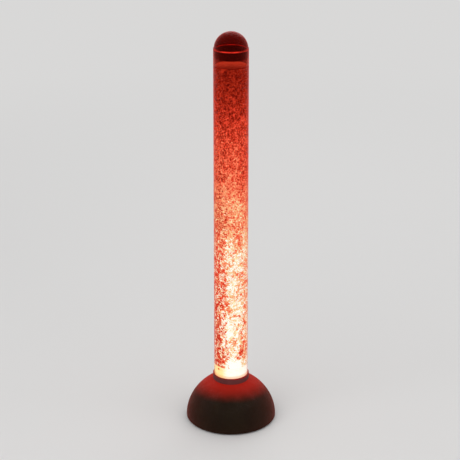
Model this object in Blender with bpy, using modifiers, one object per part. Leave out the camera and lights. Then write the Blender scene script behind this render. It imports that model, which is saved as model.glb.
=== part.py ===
"""LED bubble tube: a water-filled acrylic tube on a moulded dome base that holds its air pump and lights.

Metres, +Z up. The origin is the centre of the surface that the lamp stands on. The tube's axis is Z, the
viewer stands at -Y and the inlet and the button are at the back, +Y.
"""

import math

import bmesh
import bpy
from mathutils import Matrix, Vector

# Fits shared by the whole lamp
GAP = 0.0003
RUNNING_CLEARANCE = 0.00008
CUT_OVERRUN = 0.002
MERGE_DISTANCE = 0.00001

# Facets of round pieces
WIDE_SIDES = 48
MIDDLE_SIDES = 32
SMALL_SIDES = 16
TINY_SIDES = 10
HOLE_SIDES = 8
SMOOTH_BELOW = math.radians(35)
NEARLY_ALONG = 0.9

# Rubber feet
FOOT_RADIUS = 0.009
FOOT_HEIGHT = 0.0042
FOOT_TAPER = 0.0008
FOOT_STEM_RADIUS = 0.003
FOOT_STEM_ABOVE_PLATE = 0.0015
FOOT_FROM_EDGE = 0.0195
FOOT_COUNT = 4

# Base housing: a moulded dome whose profile is a superellipse over a short upright skirt
BASE_RADIUS = 0.1075
BASE_SKIRT = 0.0042
DOME_RISE = 0.1053
DOME_POWER = 1.84
DOME_POINTS = 10
HOUSING_WALL = 0.0025
HOUSING_BELOW_PLATE = 0.0015
NECK_DEPTH = 0.0222
NECK_WALL = 0.0024
LEDGE_THICKNESS = 0.003
LEDGE_BORE_RADIUS = 0.026
GUSSET_THICKNESS = 0.0016
GUSSET_BELOW_LEDGE = 0.004
GUSSET_COUNT = 4

# Collar ring and its seal at the top of the dome
COLLAR_RADIUS = 0.043
COLLAR_HEIGHT = 0.0143
COLLAR_ROUND = 0.0008
SEAL_GROOVE_WIDTH = 0.0012
SEAL_GROOVE_DEPTH = 0.0024

# Acrylic tube and what closes its lower end
TUBE_RADIUS = 0.040
TUBE_WALL = 0.003
TUBE_LENGTH = 0.830
TUBE_FIT = 0.0004
GASKET_THICKNESS = 0.001
GASKET_WIDTH = 0.0058
PLUG_HEIGHT = 0.0592
PLUG_TOP_THICKNESS = 0.006
PLUG_WALL = 0.003

# Air inlet through the end plug, and the porous disc over it
INLET_STEM_RADIUS = 0.004
INLET_FLANGE_RADIUS = 0.009
INLET_FLANGE_THICKNESS = 0.002
INLET_BORE_RADIUS = 0.0007
INLET_STEM_BELOW_NUT = 0.0027
INLET_WASHER_THICKNESS = 0.001
INLET_NUT_RADIUS = 0.0081
INLET_NUT_HEIGHT = 0.004
DIFFUSER_RADIUS = 0.032
DIFFUSER_HEIGHT = 0.010
DIFFUSER_ROUND = 0.0015

# Water
WATER_BELOW_RIM = 0.0365
MENISCUS_RISE = 0.001
MENISCUS_WIDTH = 0.004

# Lift-off dome cap
CAP_DOME_RADIUS = 0.0387
CAP_DOME_CENTRE_ABOVE_RIM = 0.0005
CAP_WALL = 0.0016
CAP_FLANGE_TOP_ABOVE_RIM = 0.0025
CAP_FLANGE_ROUND = 0.0004
CAP_SKIRT_DEPTH = 0.020
CAP_SKIRT_WALL = 0.0016
CAP_POINTS = 6

# Base plate
PLATE_THICKNESS = 0.0025
PLATE_RIB_HEIGHT = 0.002
PLATE_RIB_WIDTH = 0.0024
PLATE_RIB_INSET = 0.0008
VENT_LENGTH = 0.030
VENT_WIDTH = 0.003
VENT_PITCH = 0.007
VENT_COUNT = 6
VENTS_FROM_EDGE = 0.0555

# Screws that close the base
SCREW_SHANK_RADIUS = 0.0015
SCREW_SHANK_LENGTH = 0.012
SCREW_HEAD_RADIUS = 0.0035
SCREW_HEAD_HEIGHT = 0.0019
SCREW_HEAD_ROUND = 0.0006
SCREW_FROM_EDGE = 0.0115
SCREW_COUNT = 4
BOSS_RADIUS = 0.004
BOSS_BORE_SPARE = 0.002

# LED carrier, ring board and LED packages
CARRIER_FLANGE_THICKNESS = 0.002
CARRIER_HEIGHT = 0.0265
CARRIER_WALL = 0.002
CARRIER_RADIUS = 0.0315
CARRIER_SHELF_WIDTH = 0.0075
LED_BOARD_THICKNESS = 0.0016
LED_BOARD_BORE_RADIUS = 0.012
LED_BOARD_INSET = 0.0005
LED_WIDTH = 0.005
LED_HEIGHT = 0.0016
LED_LENS_RADIUS = 0.0019
LED_LENS_DEPTH = 0.0006
LED_PITCH_RADIUS = 0.026
LED_COUNT = 6

# Pump case, lid and rubber mounts
PUMP_LENGTH = 0.104
PUMP_WIDTH = 0.040
PUMP_HEIGHT = 0.038
PUMP_WALL = 0.002
PUMP_CORNER = 0.005
PUMP_LID_THICKNESS = 0.002
PUMP_LID_LIP_DEPTH = 0.001
PUMP_LID_LIP_WALL = 0.0012
GROMMET_RADIUS = 0.005
GROMMET_HEIGHT = 0.0044
MOUNT_PIN_RADIUS = 0.002
MOUNT_PIN_ABOVE_EAR = 0.001
EAR_RADIUS = 0.0052
EAR_FROM_SIDE = 0.005
EAR_FROM_END = 0.010

# Electromagnet: an E-shaped stack of laminations with a coil round its middle leg
CORE_LENGTH = 0.022
CORE_DEPTH = 0.012
CORE_BACK = 0.006
CORE_OUTER_LEG = 0.005
CORE_MIDDLE_LEG = 0.008
CORE_WINDOW = 0.008
CORE_SEAT_HEIGHT = 0.0007
CORE_SEAT_WIDTH = 0.004
BOBBIN_WALL = 0.001
BOBBIN_FLANGE_SPARE = 0.0005
WINDING_BELOW_FLANGE = 0.0006
COIL_SIDE_DEPTH = 0.007
COIL_CORNER = 0.0025

# Swinging arm with its magnet, pivot pin and posts
MAGNET_GAP = 0.0019
ARM_WIDTH = 0.010
ARM_THICKNESS = 0.004
ARM_EYE_RADIUS = 0.0045
ARM_PIVOT_FROM_END = 0.006
ARM_HOLDER_THICKNESS = 0.002
ARM_HOLDER_HEIGHT = 0.022
MAGNET_THICKNESS = 0.005
MAGNET_HEIGHT = 0.020
PIVOT_PIN_RADIUS = 0.0015
POST_THICKNESS = 0.003
POST_WIDTH = 0.008
POST_SIDE_CLEARANCE = 0.001
POST_ABOVE_PIVOT = 0.004

# Rubber diaphragm over the valve block and its air outlet
DIAPHRAGM_FROM_PIVOT = 0.026
DIAPHRAGM_RADIUS = 0.011
DIAPHRAGM_BOSS_RADIUS = 0.0045
DIAPHRAGM_WALL = 0.0014
DIAPHRAGM_LIP_HEIGHT = 0.0028
DIAPHRAGM_LIP_WIDTH = 0.0016
VALVE_BLOCK_WIDTH = 0.024
VALVE_BLOCK_HEIGHT = 0.007
VALVE_BLOCK_CORNER = 0.002
NOZZLE_RADIUS = 0.0027
NOZZLE_SHOULDER_OUTSIDE = 0.003
SPIGOT_LENGTH = 0.006
SPIGOT_BORE_RADIUS = 0.0007

# Silicone air hose and the one-way valve in it, which lies in a clip on the pump's lid
HOSE_RADIUS = 0.0025
HOSE_BORE_RADIUS = 0.0015
HOSE_BEND = 0.023
HOSE_INNER_BEND = 0.020
HOSE_STEPS = 8
PULL_SHARE = 1.17
CHECK_VALVE_RADIUS = 0.006
CHECK_VALVE_LENGTH = 0.012
CHECK_VALVE_ROUND = 0.001
CHECK_VALVE_SHOULDER = 0.001
CLIP_WALL = 0.002
CLIP_WIDTH = 0.006
CLIP_MOUTH = 0.009
CLIP_POST_WIDTH = 0.005
CLIP_POST_SINK = 0.0012

# Pocket in the back of the dome, with the inlet socket and the button side by side
POCKET_WIDTH = 0.050
POCKET_HEIGHT = 0.020
POCKET_BOTTOM = 0.012
POCKET_DEPTH = 0.0085
POCKET_CORNER = 0.004
POCKET_WALL = 0.0025
FITTING_SPREAD = 0.026
PANEL_HOLE_CLEARANCE = 0.0003
NUT_THICKNESS = 0.0025
NUT_MARGIN = 0.0025
SOCKET_FLANGE_RADIUS = 0.007
SOCKET_FLANGE_THICKNESS = 0.0015
SOCKET_BARREL_RADIUS = 0.0055
SOCKET_BARREL_LENGTH = 0.0145
SOCKET_BORE_RADIUS = 0.0031
SOCKET_BORE_DEPTH = 0.010
SOCKET_PIN_RADIUS = 0.001
SOCKET_PIN_RECESS = 0.001
BEZEL_FLANGE_RADIUS = 0.0092
BEZEL_FLANGE_THICKNESS = 0.0017
BEZEL_BARREL_RADIUS = 0.0076
BEZEL_BARREL_LENGTH = 0.013
BEZEL_SHOULDER_DEPTH = 0.0083
BEZEL_SHOULDER_THICKNESS = 0.002
BEZEL_REAR_BORE_RADIUS = 0.0045
BUTTON_RADIUS = 0.006
BUTTON_PROUD = 0.0025
BUTTON_ROUND = 0.0006
BUTTON_CAP_LENGTH = 0.0082
BUTTON_STEM_RADIUS = 0.0024
BUTTON_HOOK_RADIUS = 0.0034
BUTTON_HOOK_LENGTH = 0.0015
BUTTON_TRAVEL = 0.0012
BUTTON_SPRING_WIRE_RADIUS = 0.00025
BUTTON_SPRING_TURNS = 2
SWITCH_WIDTH = 0.013
SWITCH_DEPTH = 0.009
SWITCH_PLUNGER_RADIUS = 0.0015

# Control board on its posts
BOARD_WIDTH = 0.070
BOARD_DEPTH = 0.030
BOARD_THICKNESS = 0.0016
BOARD_BEFORE_POCKET = 0.039
BOARD_POST_HEIGHT = 0.005
BOARD_POST_RADIUS = 0.003
BOARD_POST_INSET = 0.004
BOARD_PIN_RADIUS = 0.0011
BOARD_PIN_ABOVE = 0.001
CONNECTOR_WIDTH = 0.008
CONNECTOR_DEPTH = 0.006
CONNECTOR_HEIGHT = 0.006
CAPACITOR_RADIUS = 0.005
CAPACITOR_HEIGHT = 0.012
CHIP_WIDTH = 0.010
CHIP_HEIGHT = 0.0016
SINK = 0.0005

# Internal cables
CABLE_RADIUS = 0.0012
CABLE_STEPS = 7
CABLE_LEAD = 0.008
CABLE_HOLE_RADIUS = 0.0018

# Heights and radii that follow from the sizes above
PLATE_BOTTOM = FOOT_HEIGHT + GAP
PLATE_TOP = PLATE_BOTTOM + PLATE_THICKNESS
HOUSING_EDGE = PLATE_BOTTOM - HOUSING_BELOW_PLATE
DOME_START = HOUSING_EDGE + BASE_SKIRT
INNER_RADIUS = BASE_RADIUS - HOUSING_WALL
FOOT_PITCH_RADIUS = BASE_RADIUS - FOOT_FROM_EDGE
SCREW_PITCH_RADIUS = BASE_RADIUS - SCREW_FROM_EDGE
VENTS_FROM_CENTRE = BASE_RADIUS - VENTS_FROM_EDGE
INNER_RISE = DOME_RISE - HOUSING_WALL


def dome_z(radius, base_radius, rise):
    """Height of a superellipse dome over its radius."""
    share = 1 - (radius / base_radius) ** DOME_POWER
    return DOME_START + rise * share ** (1 / DOME_POWER)


COLLAR_SEAT = dome_z(COLLAR_RADIUS, BASE_RADIUS, DOME_RISE)
COLLAR_BOTTOM = COLLAR_SEAT + GAP
COLLAR_TOP = COLLAR_BOTTOM + COLLAR_HEIGHT
NECK_BORE_RADIUS = TUBE_RADIUS + TUBE_FIT
NECK_RADIUS = NECK_BORE_RADIUS + NECK_WALL
LEDGE_TOP = COLLAR_SEAT - NECK_DEPTH
LEDGE_BOTTOM = LEDGE_TOP - LEDGE_THICKNESS
GASKET_BOTTOM = LEDGE_TOP + GAP
TUBE_BOTTOM = GASKET_BOTTOM + GASKET_THICKNESS + GAP
TUBE_TOP = TUBE_BOTTOM + TUBE_LENGTH
TUBE_BORE_RADIUS = TUBE_RADIUS - TUBE_WALL
PLUG_RADIUS = TUBE_BORE_RADIUS - GAP
PLUG_TOP = TUBE_BOTTOM + PLUG_HEIGHT
PLUG_CEILING = PLUG_TOP - PLUG_TOP_THICKNESS
WATER_LEVEL = TUBE_TOP - WATER_BELOW_RIM
PUMP_BOTTOM = PLATE_TOP + GAP + GROMMET_HEIGHT + GAP
PUMP_FLOOR = PUMP_BOTTOM + PUMP_WALL
PUMP_TOP = PUMP_BOTTOM + PUMP_HEIGHT
LID_BOTTOM = PUMP_TOP + GAP
LID_TOP = LID_BOTTOM + PUMP_LID_THICKNESS
CORE_HEIGHT = 2 * CORE_OUTER_LEG + CORE_MIDDLE_LEG + 2 * CORE_WINDOW
CORE_BOTTOM = PUMP_FLOOR + CORE_SEAT_HEIGHT + GAP
PUMP_AXIS_Z = CORE_BOTTOM + CORE_HEIGHT / 2
CORE_REAR_X = -PUMP_LENGTH / 2 + PUMP_WALL + GAP
CORE_FACE_X = CORE_REAR_X + CORE_LENGTH
PIVOT_X = PUMP_LENGTH / 2 - PUMP_WALL - ARM_PIVOT_FROM_END
ARM_LENGTH = PIVOT_X - CORE_FACE_X - MAGNET_GAP - MAGNET_THICKNESS - GAP
DIAPHRAGM_X = PIVOT_X - DIAPHRAGM_FROM_PIVOT
VALVE_BLOCK_BOTTOM = PUMP_FLOOR + GAP
VALVE_BLOCK_TOP = VALVE_BLOCK_BOTTOM + VALVE_BLOCK_HEIGHT
NOZZLE_Z = VALVE_BLOCK_BOTTOM + VALVE_BLOCK_HEIGHT / 2
NOZZLE_SHOULDER_X = PUMP_LENGTH / 2 + NOZZLE_SHOULDER_OUTSIDE
SPIGOT_RADIUS = HOSE_BORE_RADIUS - GAP
HOSE_CROSSING_Z = NOZZLE_Z + 2 * HOSE_BEND
CHECK_VALVE_INLET_X = NOZZLE_SHOULDER_X
CHECK_VALVE_OUTLET_X = CHECK_VALVE_INLET_X - CHECK_VALVE_LENGTH - 2 * CHECK_VALVE_SHOULDER
CHECK_VALVE_X = (CHECK_VALVE_INLET_X + CHECK_VALVE_OUTLET_X) / 2
NUT_TOP = PLUG_CEILING - GAP
INLET_SHOULDER_Z = NUT_TOP - INLET_NUT_HEIGHT - INLET_STEM_BELOW_NUT
CARRIER_BOTTOM = LEDGE_TOP + GAP
CARRIER_TOP = CARRIER_BOTTOM + CARRIER_HEIGHT
LED_BOARD_BOTTOM = CARRIER_TOP + GAP
LED_BOTTOM = LED_BOARD_BOTTOM + LED_BOARD_THICKNESS + GAP
POCKET_MIDDLE_Z = POCKET_BOTTOM + POCKET_HEIGHT / 2
POCKET_FLOOR_FROM_AXIS = BASE_RADIUS - POCKET_DEPTH
PANEL_INNER_Y = POCKET_FLOOR_FROM_AXIS - POCKET_WALL
BOARD_FROM_AXIS = POCKET_FLOOR_FROM_AXIS - BOARD_BEFORE_POCKET
FITTING_Y = POCKET_FLOOR_FROM_AXIS + GAP
SOCKET_X = -FITTING_SPREAD / 2
BUTTON_X = FITTING_SPREAD / 2
BOARD_BOTTOM = PLATE_TOP + BOARD_POST_HEIGHT + GAP
BOARD_TOP = BOARD_BOTTOM + BOARD_THICKNESS

# Directions
UP = Vector((0, 0, 1))
DOWN = Vector((0, 0, -1))
RIGHT = Vector((1, 0, 0))
LEFT = Vector((-1, 0, 0))
BACK = Vector((0, 1, 0))
FRONT = Vector((0, -1, 0))
TURN_Z_TO_Y = Matrix.Rotation(-math.pi / 2, 4, "X")
TURN_Z_TO_X = Matrix.Rotation(math.pi / 2, 4, "Y")


def start_scene():
    """Empty the scene and make one collection for the lamp and one for its cutters."""
    for old in list(bpy.data.objects):
        bpy.data.objects.remove(old, do_unlink=True)
    collections = []
    for name in ("led_bubble_tube", "cutters"):
        collection = bpy.data.collections.new(name)
        bpy.context.scene.collection.children.link(collection)
        collections.append(collection)
    return collections


PARTS, CUTTERS = start_scene()


def finish(name, colour, roughness, metallic=0.0, alpha=1.0, transmission=0.0):
    """A Principled material."""
    material = bpy.data.materials.new(name)
    material.use_nodes = True
    shader = material.node_tree.nodes["Principled BSDF"]
    shader.inputs["Base Color"].default_value = (*colour, 1)
    shader.inputs["Roughness"].default_value = roughness
    shader.inputs["Metallic"].default_value = metallic
    shader.inputs["Alpha"].default_value = alpha
    shader.inputs["Transmission Weight"].default_value = transmission
    return material


def make_finishes():
    """Every finish of the lamp by name."""
    return {
        "housing": finish("housing_plastic", (0.09, 0.077, 0.062), 0.6),
        "collar": finish("collar_plastic", (0.10, 0.06, 0.052), 0.5),
        "plate": finish("black_plastic", (0.03, 0.03, 0.032), 0.6),
        "rubber": finish("black_rubber", (0.02, 0.02, 0.02), 0.85),
        "acrylic": finish("clear_acrylic", (1.0, 0.93, 0.90), 0.04, alpha=0.3, transmission=1.0),
        "cap": finish("red_tinted_cap", (0.35, 0.03, 0.02), 0.08, alpha=0.75, transmission=0.8),
        "water": finish("lit_water", (0.95, 0.30, 0.20), 0.05, alpha=0.5, transmission=0.9),
        "stone": finish("porous_stone", (0.55, 0.57, 0.60), 0.9),
        "inner": finish("white_nylon", (0.80, 0.80, 0.78), 0.5),
        "board": finish("green_board", (0.02, 0.18, 0.07), 0.4),
        "led": finish("led_package", (0.95, 0.90, 0.60), 0.3),
        "steel": finish("lamination_steel", (0.42, 0.43, 0.45), 0.4, metallic=0.9),
        "copper": finish("copper_winding", (0.72, 0.28, 0.12), 0.35, metallic=0.9),
        "silicone": finish("silicone_hose", (0.82, 0.84, 0.86), 0.4),
        "cable": finish("cable_jacket", (0.06, 0.06, 0.07), 0.5),
        "button": finish("button_plastic", (0.10, 0.10, 0.11), 0.35),
    }


FINISHES = make_finishes()


def place(shape, material):
    """Put a finished sub-part in the lamp's collection with its own material."""
    PARTS.objects.link(shape)
    if material is not None:
        shape.data.materials.clear()
        shape.data.materials.append(FINISHES[material])
    return shape


def tool(shape):
    """Put a shape that only cuts or joins in the cutters' collection."""
    CUTTERS.objects.link(shape)
    shape.hide_render = True
    shape.display_type = "WIRE"
    return shape


def cut(shape, *cutters):
    """Cut one or more closed shapes away."""
    for cutter in cutters:
        change(shape, cutter, "DIFFERENCE")
    return shape


def join(shape, *others):
    """Fuse one or more closed shapes on."""
    for other in others:
        change(shape, other, "UNION")
    return shape


def change(shape, other, operation):
    """Add one exact Boolean to a shape."""
    boolean = shape.modifiers.new(other.name, "BOOLEAN")
    boolean.operation = operation
    boolean.solver = "EXACT"
    boolean.object = other
    return boolean


def turned(name, profile, sides):
    """A solid turned about its own Z. The profile runs down its outer side, from the top."""
    corners = [(radius, 0, height) for radius, height in profile]
    edges = [(index, index + 1) for index in range(len(corners) - 1)]
    if profile[0][0] > 0:
        edges.append((len(corners) - 1, 0))
    mesh = bpy.data.meshes.new(name)
    mesh.from_pydata(corners, edges, [])
    shape = bpy.data.objects.new(name, mesh)
    screw = shape.modifiers.new("turn", "SCREW")
    screw.steps = sides
    screw.render_steps = sides
    screw.use_merge_vertices = True
    screw.merge_threshold = MERGE_DISTANCE
    screw.use_smooth_shade = True
    return shape


def rod(name, radius, low, high, sides, at=(0, 0)):
    """An upright cylinder from one height to another."""
    shape = turned(name, [(0, high), (radius, high), (radius, low), (0, low)], sides)
    shape.location = (at[0], at[1], 0)
    return shape


def ring(name, inner, outer, low, high, sides):
    """An upright ring of square section."""
    return turned(name, [(outer, high), (outer, low), (inner, low), (inner, high)], sides)


def block(name, low, high, corner=0.0, along=UP, segments=3):
    """A box between two corners, with rounded edges along one axis."""
    low, high = Vector(low), Vector(high)
    cage = bmesh.new()
    bmesh.ops.create_cube(cage, size=1)
    bmesh.ops.scale(cage, vec=high - low, verts=cage.verts)
    if corner > 0:
        rails = []
        for edge in cage.edges:
            way = (edge.verts[1].co - edge.verts[0].co).normalized()
            if abs(way.dot(along)) > NEARLY_ALONG:
                rails.append(edge)
        bmesh.ops.bevel(
            cage, geom=rails, offset=corner, segments=segments, profile=0.5, affect="EDGES"
        )
    mesh = bpy.data.meshes.new(name)
    cage.to_mesh(mesh)
    cage.free()
    shape = bpy.data.objects.new(name, mesh)
    shape.location = (low + high) / 2
    return shape


def standing_block(name, centre, size, low, high, corner=0.0):
    """A box by its middle in plan, its plan size and its two heights."""
    half_x, half_y = size[0] / 2, size[1] / 2
    return block(
        name,
        (centre[0] - half_x, centre[1] - half_y, low),
        (centre[0] + half_x, centre[1] + half_y, high),
        corner,
    )


def outline_plate(name, outline, thickness):
    """A flat outline in X and Z, extruded evenly to both sides along Y, as a closed mesh."""
    curve = bpy.data.curves.new(name, "CURVE")
    curve.dimensions = "2D"
    curve.fill_mode = "BOTH"
    curve.extrude = thickness / 2
    spline = curve.splines.new("POLY")
    spline.points.add(len(outline) - 1)
    for point, (x, z) in zip(spline.points, outline):
        point.co = (x, z, 0, 1)
    spline.use_cyclic_u = True
    drawn = bpy.data.objects.new(name, curve)
    drawn.matrix_world = Matrix.Rotation(math.pi / 2, 4, "X")
    return mesh_of_curve(drawn)


def swept(name, points, radius):
    """A round tube or wire along a line of points, as a closed mesh."""
    curve = bpy.data.curves.new(name, "CURVE")
    curve.dimensions = "3D"
    curve.bevel_depth = radius
    curve.bevel_resolution = 2
    curve.use_fill_caps = True
    spline = curve.splines.new("POLY")
    spline.points.add(len(points) - 1)
    for point, co in zip(spline.points, points):
        point.co = (*co, 1)
    drawn = bpy.data.objects.new(name, curve)
    return mesh_of_curve(drawn)


def mesh_of_curve(drawn):
    """Replace a curve object by its mesh, with the caps welded on."""
    CUTTERS.objects.link(drawn)
    bpy.context.view_layer.update()
    graph = bpy.context.evaluated_depsgraph_get()
    mesh = bpy.data.meshes.new_from_object(drawn.evaluated_get(graph))
    cage = bmesh.new()
    cage.from_mesh(mesh)
    bmesh.ops.remove_doubles(cage, verts=cage.verts, dist=MERGE_DISTANCE)
    cage.to_mesh(mesh)
    cage.free()
    name = drawn.name
    placed = drawn.matrix_world.copy()
    curve = drawn.data
    bpy.data.objects.remove(drawn, do_unlink=True)
    bpy.data.curves.remove(curve)
    shape = bpy.data.objects.new(name, mesh)
    shape.matrix_world = placed
    return shape


def route(stations, steps):
    """Points of a smooth line through stations, each a place and the way that the line runs there."""
    points = []
    for (start, start_way), (end, end_way) in zip(stations, stations[1:]):
        span = end - start
        pull = PULL_SHARE * span.length
        straight = span.angle(start_way) + span.angle(end_way) < MERGE_DISTANCE
        count = 1 if straight else steps
        for step in range(count):
            t = step / count
            points.append(
                (2 * t**3 - 3 * t**2 + 1) * start
                + (t**3 - 2 * t**2 + t) * pull * start_way
                + (3 * t**2 - 2 * t**3) * end
                + (t**3 - t**2) * pull * end_way
            )
    points.append(stations[-1][0].copy())
    return points


def around(count, radius, first=0.0):
    """Places spread evenly on a circle about the lamp's axis, each with its angle."""
    for index in range(count):
        angle = first + 2 * math.pi * index / count
        yield index + 1, angle, (radius * math.cos(angle), radius * math.sin(angle))


def dome_profile(base_radius, rise, neck_radius):
    """The dome's profile from its neck down to its skirt, in even steps of the superellipse's angle."""
    first = math.acos((neck_radius / base_radius) ** (DOME_POWER / 2))
    profile = []
    for index in range(DOME_POINTS + 1):
        angle = first * (1 - index / DOME_POINTS)
        radius = base_radius * math.cos(angle) ** (2 / DOME_POWER)
        height = DOME_START + rise * math.sin(angle) ** (2 / DOME_POWER)
        profile.append((radius, height))
    return profile


def screw_places():
    """Where the base's screws and their bosses stand."""
    return around(SCREW_COUNT, SCREW_PITCH_RADIUS, math.pi / 8)


def foot_places():
    """Where the rubber feet stand."""
    return around(FOOT_COUNT, FOOT_PITCH_RADIUS, math.pi / 4)


def pump_mount_places():
    """Where the pump's rubber mounts stand."""
    reach_x = PUMP_LENGTH / 2 - EAR_FROM_END
    reach_y = PUMP_WIDTH / 2 + EAR_FROM_SIDE
    corners = [(reach_x, reach_y), (-reach_x, reach_y), (-reach_x, -reach_y), (reach_x, -reach_y)]
    return list(enumerate(corners, start=1))


def board_post_places():
    """Where the control board's posts stand."""
    reach_x = BOARD_WIDTH / 2 - BOARD_POST_INSET
    reach_y = BOARD_DEPTH / 2 - BOARD_POST_INSET
    return [(x, BOARD_FROM_AXIS + y) for x in (-reach_x, reach_x) for y in (-reach_y, reach_y)]


def make_base_housing():
    """The moulded dome: hollow, with a neck well for the tube, gussets, screw bosses and a back pocket."""
    outside = dome_profile(BASE_RADIUS, DOME_RISE, COLLAR_RADIUS)
    groove_radius = NECK_BORE_RADIUS + SEAL_GROOVE_WIDTH
    housing = turned(
        "base_housing",
        outside
        + [
            (BASE_RADIUS, HOUSING_EDGE),
            (LEDGE_BORE_RADIUS, HOUSING_EDGE),
            (LEDGE_BORE_RADIUS, LEDGE_TOP),
            (NECK_BORE_RADIUS, LEDGE_TOP),
            (NECK_BORE_RADIUS, COLLAR_SEAT - SEAL_GROOVE_DEPTH),
            (groove_radius, COLLAR_SEAT - SEAL_GROOVE_DEPTH),
            (groove_radius, COLLAR_SEAT),
        ],
        WIDE_SIDES,
    )
    mould_core = tool(make_mould_core())
    cut(housing, mould_core)
    pocket = tool(
        block(
            "pocket_cutter",
            (-POCKET_WIDTH / 2, POCKET_FLOOR_FROM_AXIS, POCKET_BOTTOM),
            (POCKET_WIDTH / 2, BASE_RADIUS + CUT_OVERRUN, POCKET_BOTTOM + POCKET_HEIGHT),
            POCKET_CORNER,
            BACK,
        )
    )
    cut(housing, pocket)
    for label, x, radius in (
        ("socket_hole", SOCKET_X, SOCKET_BARREL_RADIUS + PANEL_HOLE_CLEARANCE),
        ("bezel_hole", BUTTON_X, BEZEL_BARREL_RADIUS + PANEL_HOLE_CLEARANCE),
    ):
        hole = rod(label, radius, -POCKET_WALL - CUT_OVERRUN, CUT_OVERRUN, SMALL_SIDES)
        cut(housing, tool(facing_back(hole, x, POCKET_FLOOR_FROM_AXIS)))
    return place(housing, "housing")


def make_mould_core():
    """What the mould's core fills: the space under the dome, less bosses, gussets and the pocket's back."""
    core = turned(
        "mould_core",
        dome_profile(INNER_RADIUS, INNER_RISE, NECK_RADIUS)
        + [
            (INNER_RADIUS, HOUSING_EDGE - CUT_OVERRUN),
            (LEDGE_BORE_RADIUS - CUT_OVERRUN, HOUSING_EDGE - CUT_OVERRUN),
            (LEDGE_BORE_RADIUS - CUT_OVERRUN, LEDGE_BOTTOM),
            (NECK_RADIUS, LEDGE_BOTTOM),
        ],
        WIDE_SIDES,
    )
    boss_foot = PLATE_TOP + GAP
    bore_top = PLATE_BOTTOM - GAP + SCREW_SHANK_LENGTH + BOSS_BORE_SPARE
    for number, _, (x, y) in screw_places():
        boss = rod(f"boss_{number}", BOSS_RADIUS, boss_foot, COLLAR_SEAT, SMALL_SIDES, (x, y))
        bore = rod(
            f"boss_bore_{number}",
            SCREW_SHANK_RADIUS + GAP,
            boss_foot - CUT_OVERRUN,
            bore_top,
            SMALL_SIDES,
            (x, y),
        )
        cut(core, tool(cut(boss, tool(bore))))
    for number, angle, _ in around(GUSSET_COUNT, NECK_RADIUS, math.pi / 4):
        gusset = block(
            f"gusset_{number}",
            (NECK_BORE_RADIUS, -GUSSET_THICKNESS / 2, LEDGE_BOTTOM - GUSSET_BELOW_LEDGE),
            (BASE_RADIUS, GUSSET_THICKNESS / 2, COLLAR_SEAT),
        )
        turn = Matrix.Rotation(angle, 4, "Z")
        gusset.matrix_world = turn @ Matrix.Translation(gusset.location)
        cut(core, tool(gusset))
    backing = block(
        "pocket_backing",
        (-POCKET_WIDTH / 2 - POCKET_WALL, PANEL_INNER_Y, POCKET_BOTTOM - POCKET_WALL),
        (
            POCKET_WIDTH / 2 + POCKET_WALL,
            BASE_RADIUS + CUT_OVERRUN,
            POCKET_BOTTOM + POCKET_HEIGHT + POCKET_WALL,
        ),
        POCKET_CORNER,
        BACK,
    )
    return cut(core, tool(backing))


def facing_back(shape, x, y):
    """Lay a turned shape along Y at the fittings' height, its own top facing the back."""
    shape.matrix_world = Matrix.Translation((x, y, POCKET_MIDDLE_Z)) @ TURN_Z_TO_Y
    return shape


def make_base_plate():
    """The floor of the base, with its rim rib, vents, pump pins and board posts."""
    rib_outer = INNER_RADIUS - GAP - PLATE_RIB_INSET
    rib_inner = rib_outer - PLATE_RIB_WIDTH
    plate_radius = INNER_RADIUS - GAP
    plate = turned(
        "base_plate",
        [
            (0, PLATE_TOP),
            (rib_inner, PLATE_TOP),
            (rib_inner, PLATE_TOP + PLATE_RIB_HEIGHT),
            (rib_outer, PLATE_TOP + PLATE_RIB_HEIGHT),
            (rib_outer, PLATE_TOP),
            (plate_radius, PLATE_TOP),
            (plate_radius, PLATE_BOTTOM),
            (0, PLATE_BOTTOM),
        ],
        WIDE_SIDES,
    )
    low, high = PLATE_BOTTOM - CUT_OVERRUN, PLATE_TOP + CUT_OVERRUN
    for number, _, spot in foot_places():
        hole = rod(f"foot_hole_{number}", FOOT_STEM_RADIUS + GAP, low, high, SMALL_SIDES, spot)
        cut(plate, tool(hole))
    for number, _, spot in screw_places():
        hole = rod(f"screw_hole_{number}", SCREW_SHANK_RADIUS + GAP, low, high, HOLE_SIDES, spot)
        cut(plate, tool(hole))
    for index in range(VENT_COUNT):
        x = (index - (VENT_COUNT - 1) / 2) * VENT_PITCH
        slot = standing_block(
            f"vent_{index + 1}", (x, -VENTS_FROM_CENTRE), (VENT_WIDTH, VENT_LENGTH), low, high
        )
        cut(plate, tool(slot))
    pin_top = PUMP_FLOOR + MOUNT_PIN_ABOVE_EAR
    for number, spot in pump_mount_places():
        pin = rod(f"mount_pin_{number}", MOUNT_PIN_RADIUS, PLATE_TOP - SINK, pin_top, TINY_SIDES, spot)
        join(plate, tool(pin))
    post_top = PLATE_TOP + BOARD_POST_HEIGHT
    for number, spot in enumerate(board_post_places(), start=1):
        post = rod(
            f"board_post_{number}", BOARD_POST_RADIUS, PLATE_TOP - SINK, post_top, TINY_SIDES, spot
        )
        pin = rod(
            f"board_pin_{number}",
            BOARD_PIN_RADIUS,
            post_top - SINK,
            BOARD_TOP + BOARD_PIN_ABOVE,
            TINY_SIDES,
            spot,
        )
        join(plate, tool(post), tool(pin))
    return place(plate, "plate")


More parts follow.
